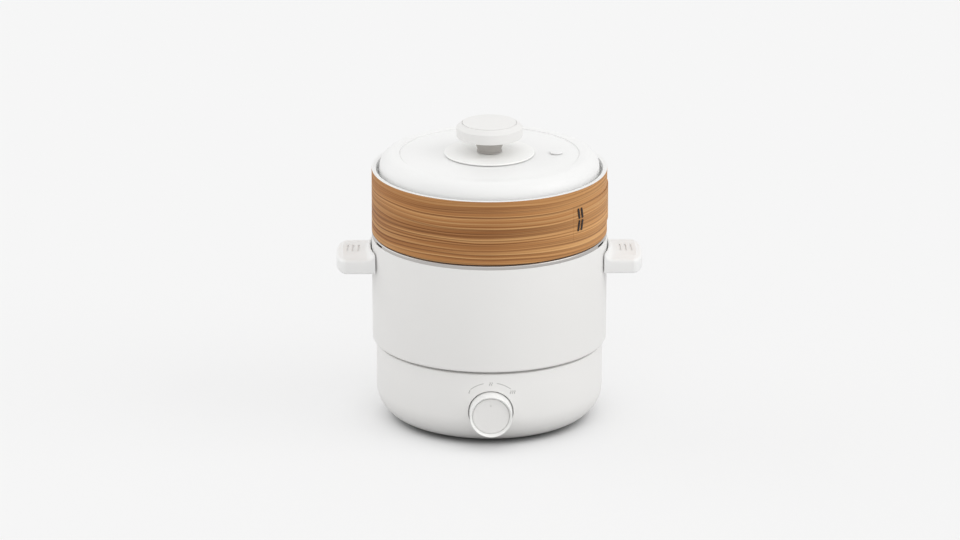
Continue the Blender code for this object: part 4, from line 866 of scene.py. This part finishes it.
def make_handle(side):
    """A solid grip in stacked outlines with round edges and a slightly crowned top."""
    root = SHELL_RADIUS + HANDLE_ROOT_GAP
    low = quarter_round(HANDLE_LOW, HANDLE_LOW_EDGE, 4)
    high = quarter_round(HANDLE_TOP, -HANDLE_TOP_EDGE, 8)
    shape = bmesh.new()
    rings = []
    for z, inset in [*reversed(low), *high]:
        rings.append([shape.verts.new((x, y, z)) for x, y in handle_outline(root, inset)])
    add_stack(shape, rings)

    # Lines along the flat top carry its crown
    flat = HANDLE_HALF_WIDTH - HANDLE_TOP_EDGE
    for i in range(-9, 10):
        parts = list(shape.verts) + list(shape.edges) + list(shape.faces)
        spot = (0, flat * i / 10, 0)
        bmesh.ops.bisect_plane(shape, geom=parts, plane_co=spot, plane_no=(0, 1, 0))
    for vertex in shape.verts:
        if vertex.co.z > HANDLE_TOP - 1e-6:
            vertex.co.z += HANDLE_CROWN * max(0.0, 1 - (vertex.co.y / flat) ** 2)
    mesh = finished(shape)
    steps = [("UNION", handle_rise(root, HANDLE_TOP_EDGE))]
    for index in range(3):
        middle = SHELL_RADIUS + GROOVE_MIDDLE + (index - 1) * GROOVE_SPACING
        line = []
        for i in range(25):
            t = i / 24
            line.append((middle - GROOVE_BOW * cos(pi * t), GROOVE_START - GROOVE_LENGTH * t))
        right = [(x + GROOVE_HALF_WIDTH, y) for x, y in line]
        left = [(x - GROOVE_HALF_WIDTH, y) for x, y in reversed(line)]
        groove = drawn_out(right + left, HANDLE_TOP - GROOVE_DEPTH, HANDLE_TOP + GROOVE_ABOVE)
        steps.append(("DIFFERENCE", groove))
    mesh = combined(mesh, *steps)
    if side == "left":
        mesh.transform(Matrix.Scale(-1, 4, (1, 0, 0)))
        mesh.flip_normals()
    piece(f"grip_{side}", mesh, "pot", PAINTED_LIGHT_WHITE_GRIP, [f"handle_{side}"])


# The tier: the skirt that enters the pot, the tray's ledge and the inside of the bamboo hoop
SKIRT_DROP = 0.0073
SKIRT_WALL = 0.0020
TRAY_LEDGE_BORE = 0.0840
TRAY_LEDGE = 0.0023
HOOP_BORE = 0.0975

# The hoop's lapped end: where it starts and how far it goes round, in degrees, how high it
# stands on the tier, and its thickness at the start and how fast that grows
LAP_START = -45.8
LAP_SWEEP = 75
LAP_FOOT = 0.0122
LAP_HEIGHT = 0.0300
LAP_THIN = 0.06
LAP_GROWTH = 1.6

# The stitches: where they stand round the hoop in degrees, their middle on the tier, their spread
# to each side and each way up, their size and corner, their lean in degrees and their thickness
STITCH_ANGLE = -41.1
STITCH_MIDDLE = 0.0299
STITCH_SPREAD = (0.0020, 0.0053)
STITCH = (0.0021, 0.0095, 0.0008)
STITCH_LEAN = 11
STITCH_THICKNESS = 0.0006


def make_tier():
    """The white liner, the bamboo hoop round it, its lapped end and the stitches."""
    profile = [
        (LIP_BORE, LIP_TOP, 0.0004),
        (LIP_RADIUS, LIP_TOP),
        (LIP_RADIUS, LIP_TOP - 0.0001),
        (LINER_RADIUS, LIP_TOP - 0.0001),
        (LINER_RADIUS, TIER_BOTTOM, GAP),
        (SKIRT_RADIUS, TIER_BOTTOM, GAP),
        (SKIRT_RADIUS, TIER_BOTTOM - SKIRT_DROP, GAP),
        (SKIRT_RADIUS - SKIRT_WALL, TIER_BOTTOM - SKIRT_DROP, GAP),
        (SKIRT_RADIUS - SKIRT_WALL, TIER_BOTTOM, GAP),
        (TRAY_LEDGE_BORE, TIER_BOTTOM, GAP),
        (TRAY_LEDGE_BORE, TIER_BOTTOM + TRAY_LEDGE, GAP),
        (LINER_BORE, TIER_BOTTOM + TRAY_LEDGE, GAP),
        (LINER_BORE, LID_LEDGE, 0.0006),
        (MOUTH_RADIUS, LID_LEDGE, GAP),
        (MOUTH_RADIUS, LIP_TOP - 0.0066, GAP),
        (LIP_BORE - 0.0006, LIP_TOP - 0.0054, 0.0006),
    ]
    piece("tier_wall", turned(profile), "steamer", WHITE_LID, ["steamer_liner"])

    top = LIP_TOP - 0.0002
    low = TIER_BOTTOM + GAP
    hoop = [
        (HOOP_BORE, top),
        (TIER_RADIUS, top, 0.0002),
        (TIER_RADIUS, low, 0.0004),
        (HOOP_BORE, low),
    ]
    piece("bamboo_hoop", turned(hoop, 192), "steamer", BAMBOO, ["bamboo_band"])
    make_tongue()
    make_stitches()


def wrap(mesh, radius, start):
    """Bends a flat mesh round the hoop: X goes round from the start angle, Y outwards, Z up."""
    for vertex in mesh.vertices:
        angle = start + vertex.co.x / radius
        out = radius + vertex.co.y
        vertex.co = (out * cos(angle), out * sin(angle), vertex.co.z)


def make_tongue():
    """The hoop's outer end, which laps over itself and thickens from a thin start."""
    inner, outer = TIER_RADIUS + GAP, TIER_RADIUS + 0.0011
    length = inner * radians(LAP_SWEEP)
    base = TIER_BOTTOM + LAP_FOOT
    shape = bmesh.new()
    steps, levels = 60, 8
    grid = []
    for i in range(steps + 1):
        column = []
        for j in range(levels + 1):
            x, z = length * i / steps, LAP_HEIGHT * j / levels
            column.append([shape.verts.new((x, y, base + z)) for y in (0, outer - inner)])
        grid.append(column)
    for i in range(steps):
        for j in range(levels):
            corners = (grid[i][j], grid[i + 1][j], grid[i + 1][j + 1], grid[i][j + 1])
            for y in (0, 1):
                shape.faces.new([corner[y] for corner in corners])

    def wall(first, second):
        shape.faces.new([first[0], second[0], second[1], first[1]])

    for j in range(levels):
        for i in (0, steps):
            wall(grid[i][j], grid[i][j + 1])
    for i in range(steps):
        for j in (0, levels):
            wall(grid[i][j], grid[i + 1][j])
    mesh = bevelled(finished(shape), 0.0003, 2)
    for vertex in mesh.vertices:
        vertex.co.y *= min(1.0, LAP_THIN + LAP_GROWTH * vertex.co.x / length)
    wrap(mesh, inner - GAP + 0.00005, radians(LAP_START))
    piece("bamboo_lap", mesh, "steamer", BAMBOO, ["bamboo_tongue"])


def make_stitches():
    """Four short stitches in two leaning pairs, one above the other."""
    number = 0
    for level in (1, -1):
        for column in (-1, 1):
            number += 1
            flat = drawn_out(rounded_rectangle(*STITCH), 0, STITCH_THICKNESS)
            stitch = bevelled(flat, 0.00022, 3)
            lean = Matrix.Rotation(level * radians(STITCH_LEAN), 4, "Z")
            x = column * STITCH_SPREAD[0]
            z = TIER_BOTTOM + STITCH_MIDDLE + level * STITCH_SPREAD[1]
            spot = Matrix.Translation((x, STITCH_THICKNESS, z))
            stitch.transform(spot @ (Matrix.Rotation(pi / 2, 4, "X") @ lean))
            wrap(stitch, TIER_RADIUS + 0.0002, radians(STITCH_ANGLE))
            name = f"cane_stitch_{number}"
            piece(name, stitch, "steamer", CANE, [f"stitch_{number}"])


# The lid's crease, in insets from LID_RING: its inner edge, its floor's two sides, its outer edge
CREASE = (0.0013, 0.0011, 0.0006, 0.0004)
CREASE_DEPTH = 0.0004

# How far in and how high the plate and the vent cap stand free of the lid, and the stem's sizes
PLATE_UNDERCUT = (0.0025, 0.0008)
VENT_HEIGHT = 0.0018
VENT_UNDERCUT = (0.0014, 0.0008)
STEM_HEIGHT = 0.0129
STEM_TOP_RADIUS = 0.0138
STEM_WAIST_RADIUS = 0.0100
STEM_FOOT_RADIUS = 0.0107
SPIGOT_RADIUS = 0.0080
SPIGOT_HEIGHT = 0.0038


def make_lid():
    """The domed shell with its flat panel, the plate, the vent cap, the stem and the knob."""
    low = LID_LEDGE + GAP
    seat = LID_PLATE_RADIUS + 0.0006
    width = LID_RADIUS - LID_SHOULDER_RADIUS
    shoulder = (LID_SHOULDER_RADIUS, LIP_TOP + 0.0008)
    rise = LID_SHOULDER - shoulder[1]
    profile = [
        (SCREW_HOLE, LID_CROWN),
        (seat, LID_CROWN),
        (LID_RING - CREASE[0], LID_CROWN, 0.0002),
        (LID_RING - CREASE[1], LID_CROWN - CREASE_DEPTH),
        (LID_RING - CREASE[2], LID_CROWN - CREASE_DEPTH),
        (LID_RING - CREASE[3], LID_SHOULDER, 0.0003),
        *arc(shoulder, width, rise, 90, 0, 28),
        (LID_RADIUS, low, GAP),
        (LID_RADIUS - LID_WALL, low, GAP),
        *arc(shoulder, width - LID_WALL, rise - LID_WALL, 0, 90, 14),
        (seat, LID_CROWN - LID_WALL),
        (SCREW_HOLE, LID_CROWN - LID_WALL),
    ]
    piece("lid_dome", turned(profile), "lid", WHITE_LID, ["lid_shell"])

    inset, lift = PLATE_UNDERCUT
    plate = [
        (SCREW_HOLE, LID_PLATE_TOP),
        (LID_PLATE_RADIUS, LID_PLATE_TOP, 0.0006),
        (LID_PLATE_RADIUS, LID_CROWN + lift, 0.0002),
        (LID_PLATE_RADIUS - inset, LID_CROWN + lift),
        (LID_PLATE_RADIUS - inset, LID_CROWN + GAP),
        (SCREW_HOLE, LID_CROWN + GAP),
    ]
    piece("lid_disc", turned(plate, 128), "lid", PAINTED_LIGHT_WHITE_PLATE, ["lid_plate"])

    inset, lift = VENT_UNDERCUT
    vent = [
        (0, VENT_HEIGHT),
        (VENT_RADIUS, VENT_HEIGHT, 0.0004),
        (VENT_RADIUS, lift, 0.0001),
        (VENT_RADIUS - inset, lift),
        (VENT_RADIUS - inset, 0.0001),
        (0, 0.0001),
    ]
    spot = Matrix.Translation((VENT_OFFSET, 0, LID_CROWN))
    piece("vent_cap", turned(vent, 48), "lid", WHITE_LID, ["steam_vent"], spot)

    stem_low = LID_PLATE_TOP + GAP
    stem_top = stem_low + STEM_HEIGHT
    stem = [
        (SCREW_HOLE, stem_top + SPIGOT_HEIGHT),
        (SPIGOT_RADIUS, stem_top + SPIGOT_HEIGHT, GAP),
        (SPIGOT_RADIUS, stem_top),
        (STEM_TOP_RADIUS, stem_top, 0.0004),
        (STEM_WAIST_RADIUS, stem_low + 0.0016),
        (STEM_FOOT_RADIUS, stem_low + 0.0012, 0.0003),
        (STEM_FOOT_RADIUS, stem_low + 0.0002, 0.0002),
        (SCREW_HOLE, stem_low),
    ]
    piece("knob_neck", turned(stem, 96), "lid", STEM_GREY_AND_SHADE, ["knob_stem"])

    recess = INLAY_RADIUS + GAP
    socket = SPIGOT_RADIUS + GAP
    socket_top = stem_top + SPIGOT_HEIGHT + GAP
    cap = [
        (0, KNOB_TOP - 0.0013),
        (recess, KNOB_TOP - 0.0013),
        (recess, KNOB_TOP - 0.0001, 0.0002),
        (KNOB_RADIUS, KNOB_TOP - 0.0038, 0.0005),
        (KNOB_RADIUS, KNOB_BOTTOM, 0.0009),
        (socket, KNOB_BOTTOM, GAP),
        (socket, socket_top),
        (SCREW_HOLE, socket_top),
        (SCREW_HOLE, stem_top + 0.0075),
        (0, stem_top + 0.0075),
    ]
    piece("knob_head", turned(cap, 128), "lid", PAINTED_SHADE_WHITE_KNOB, ["knob_cap"])

    inlay_low = KNOB_TOP - 0.0010
    inlay = [
        (0, KNOB_TOP),
        (INLAY_RADIUS, KNOB_TOP, 0.0002),
        (INLAY_RADIUS, inlay_low),
        (0, inlay_low),
    ]
    piece("knob_disc", turned(inlay, 128), "lid", PAINTED_SHADE_WHITE_KNOB, ["knob_inlay"])


def dress_solids():
    """Materials of the solids that stay in view."""
    by_slot = {
        "white_shell": WHITE,
        "white_lid": WHITE_LID,
        "black_plastic": BLACK,
        "rubber": RUBBER,
        "steel": SMALL_STEEL,
        "cast_aluminium": CAST,
        "brass": BRASS,
        "bamboo": BAMBOO,
        "dark_cane": CANE,
        **WIRES,
    }
    special = {"steam_tray": STEEL, "inner_pot": STEEL, "heating_plate": PLATE_METAL}
    for entry in frame["record"]["subparts"]:
        node = entry["node"]
        mesh = frame["nodes"][node].data
        mesh.materials.clear()
        mesh.materials.append(special.get(node, by_slot[entry["material_slot"]]))


# Stage

# The backdrop's colour, the floor's colour as other surfaces see it and the painted shade it takes
# near the object, the part of the floor's shadow that stays out in the open, and how far things
# near it darken it
FLOOR_TONE = 0.902
FLOOR_BOUNCE = 0.64
FLOOR_PAINTED_SHADE = 0.08
SHADOW_KEPT = 0.37
CONTACT_REACH = 0.011
OPEN_REACH = 0.045
FLOOR_HALF_SIZE = 8.0

# The dome's light, and the lamps: direction from the object, strength and spread in degrees
HORIZON_LIGHT = 0.78
ZENITH_LIGHT = 0.85
LAMP_DISTANCE = 2
LAMPS = {
    "key": ((0.95, -0.25, 0.58), 0.66, 45),
    "rim": ((-1.0, 0.36, 0.35), 0.50, 60),
    "front": ((0.1, -1.0, 1.0), 0.34, 60),
}


def seen_rays(tree):
    """1 for the rays that show the backdrop: from the camera, off gloss and through glass."""
    path = add_node(tree, "LightPath", {}).outputs
    seen = path["Is Camera Ray"]
    for ray in ("Is Glossy Ray", "Is Transmission Ray"):
        seen = add_node(tree, "Math", {0: seen, 1: path[ray]}, operation="MAXIMUM").outputs[0]
    return seen


def make_floor_look():
    """A floor of the backdrop's colour, shaded fully near the object and less further out, its
    colour darkened near the object as painted shade.
    """
    look = Look("pale_floor")
    tone, dark = grey(FLOOR_TONE), grey(FLOOR_PAINTED_SHADE)
    seen = seen_rays(look.tree)
    contact, open_air = (
        look.add("AmbientOcclusion", {"Distance": reach}, samples=8).outputs["AO"]
        for reach in (CONTACT_REACH, OPEN_REACH)
    )
    # Painted shade: near the object the floor's colour darkens, both what other surfaces see and
    # what is shown, standing for its contact shadow and dimming the light bounced onto the base
    bounce = look.mix(look.span(open_air, 0.10, 0.90, 0.92, 0.0), grey(FLOOR_BOUNCE), dark)
    shown = look.mix(look.span(contact, 0.02, 0.42, 0.62, 0.0), tone, dark)
    look.set(Base_Color=look.mix(seen, bounce, shown), Roughness=0.9, Specular_IOR_Level=0.0)

    # In the open, most of what is seen is an even glow
    share = look.span(open_air, 0.15, 0.95, 0.0, 1.0 - SHADOW_KEPT)
    share = look.maths("MULTIPLY", seen, share)
    glow = look.add("Emission", {"Color": tone, "Strength": 1.0}).outputs[0]
    mixed = look.add("MixShader", {0: share, 1: look.shader.outputs[0], 2: glow}).outputs[0]
    feed(look.tree, look.tree.nodes["Material Output"].inputs["Surface"], mixed)
    return look.material


def make_stage():
    """The plain floor, large enough that its edge is out of the picture."""
    shape = bmesh.new()
    bmesh.ops.create_grid(shape, x_segments=1, y_segments=1, size=FLOOR_HALF_SIZE)
    floor = placed("floor", finished(shape))
    floor.data.materials.append(make_floor_look())


def sun(name, direction, energy, angle):
    """A far lamp in this direction from the object, its light spread over degrees of angle."""
    light = bpy.data.lights.new(name, "SUN")
    light.energy = energy
    light.angle = radians(angle)
    obj = placed(name, light)
    obj.location = Vector(direction).normalized() * LAMP_DISTANCE
    obj.rotation_euler = Vector(direction).to_track_quat("Z", "Y").to_euler()


def make_light():
    """A nearly even pale dome behind an even backdrop, and three soft lamps."""
    world = bpy.data.worlds.new("studio")
    bpy.context.scene.world = world
    world.use_nodes = True
    tree = world.node_tree
    place = add_node(tree, "TexCoord", {}).outputs["Generated"]
    height = add_node(tree, "SeparateXYZ", {0: place}).outputs[2]
    inputs = {"Value": height, "To Min": HORIZON_LIGHT, "To Max": ZENITH_LIGHT}
    dome = add_node(tree, "MapRange", inputs).outputs[0]
    inputs = {0: seen_rays(tree), 2: dome, 3: FLOOR_TONE}
    level = add_node(tree, "Mix", inputs, data_type="FLOAT").outputs[0]
    background = tree.nodes["Background"]
    feed(tree, background.inputs["Color"], grey(1.0))
    feed(tree, background.inputs["Strength"], level)
    for name, lamp in LAMPS.items():
        sun(name, *lamp)
    bpy.context.scene.view_settings.view_transform = "Standard"


make_camera()
dress_solids()
make_base()
make_marks()
make_dial()
make_pot()
make_handle("right")
make_handle("left")
make_tier()
make_lid()
make_stage()
make_light()
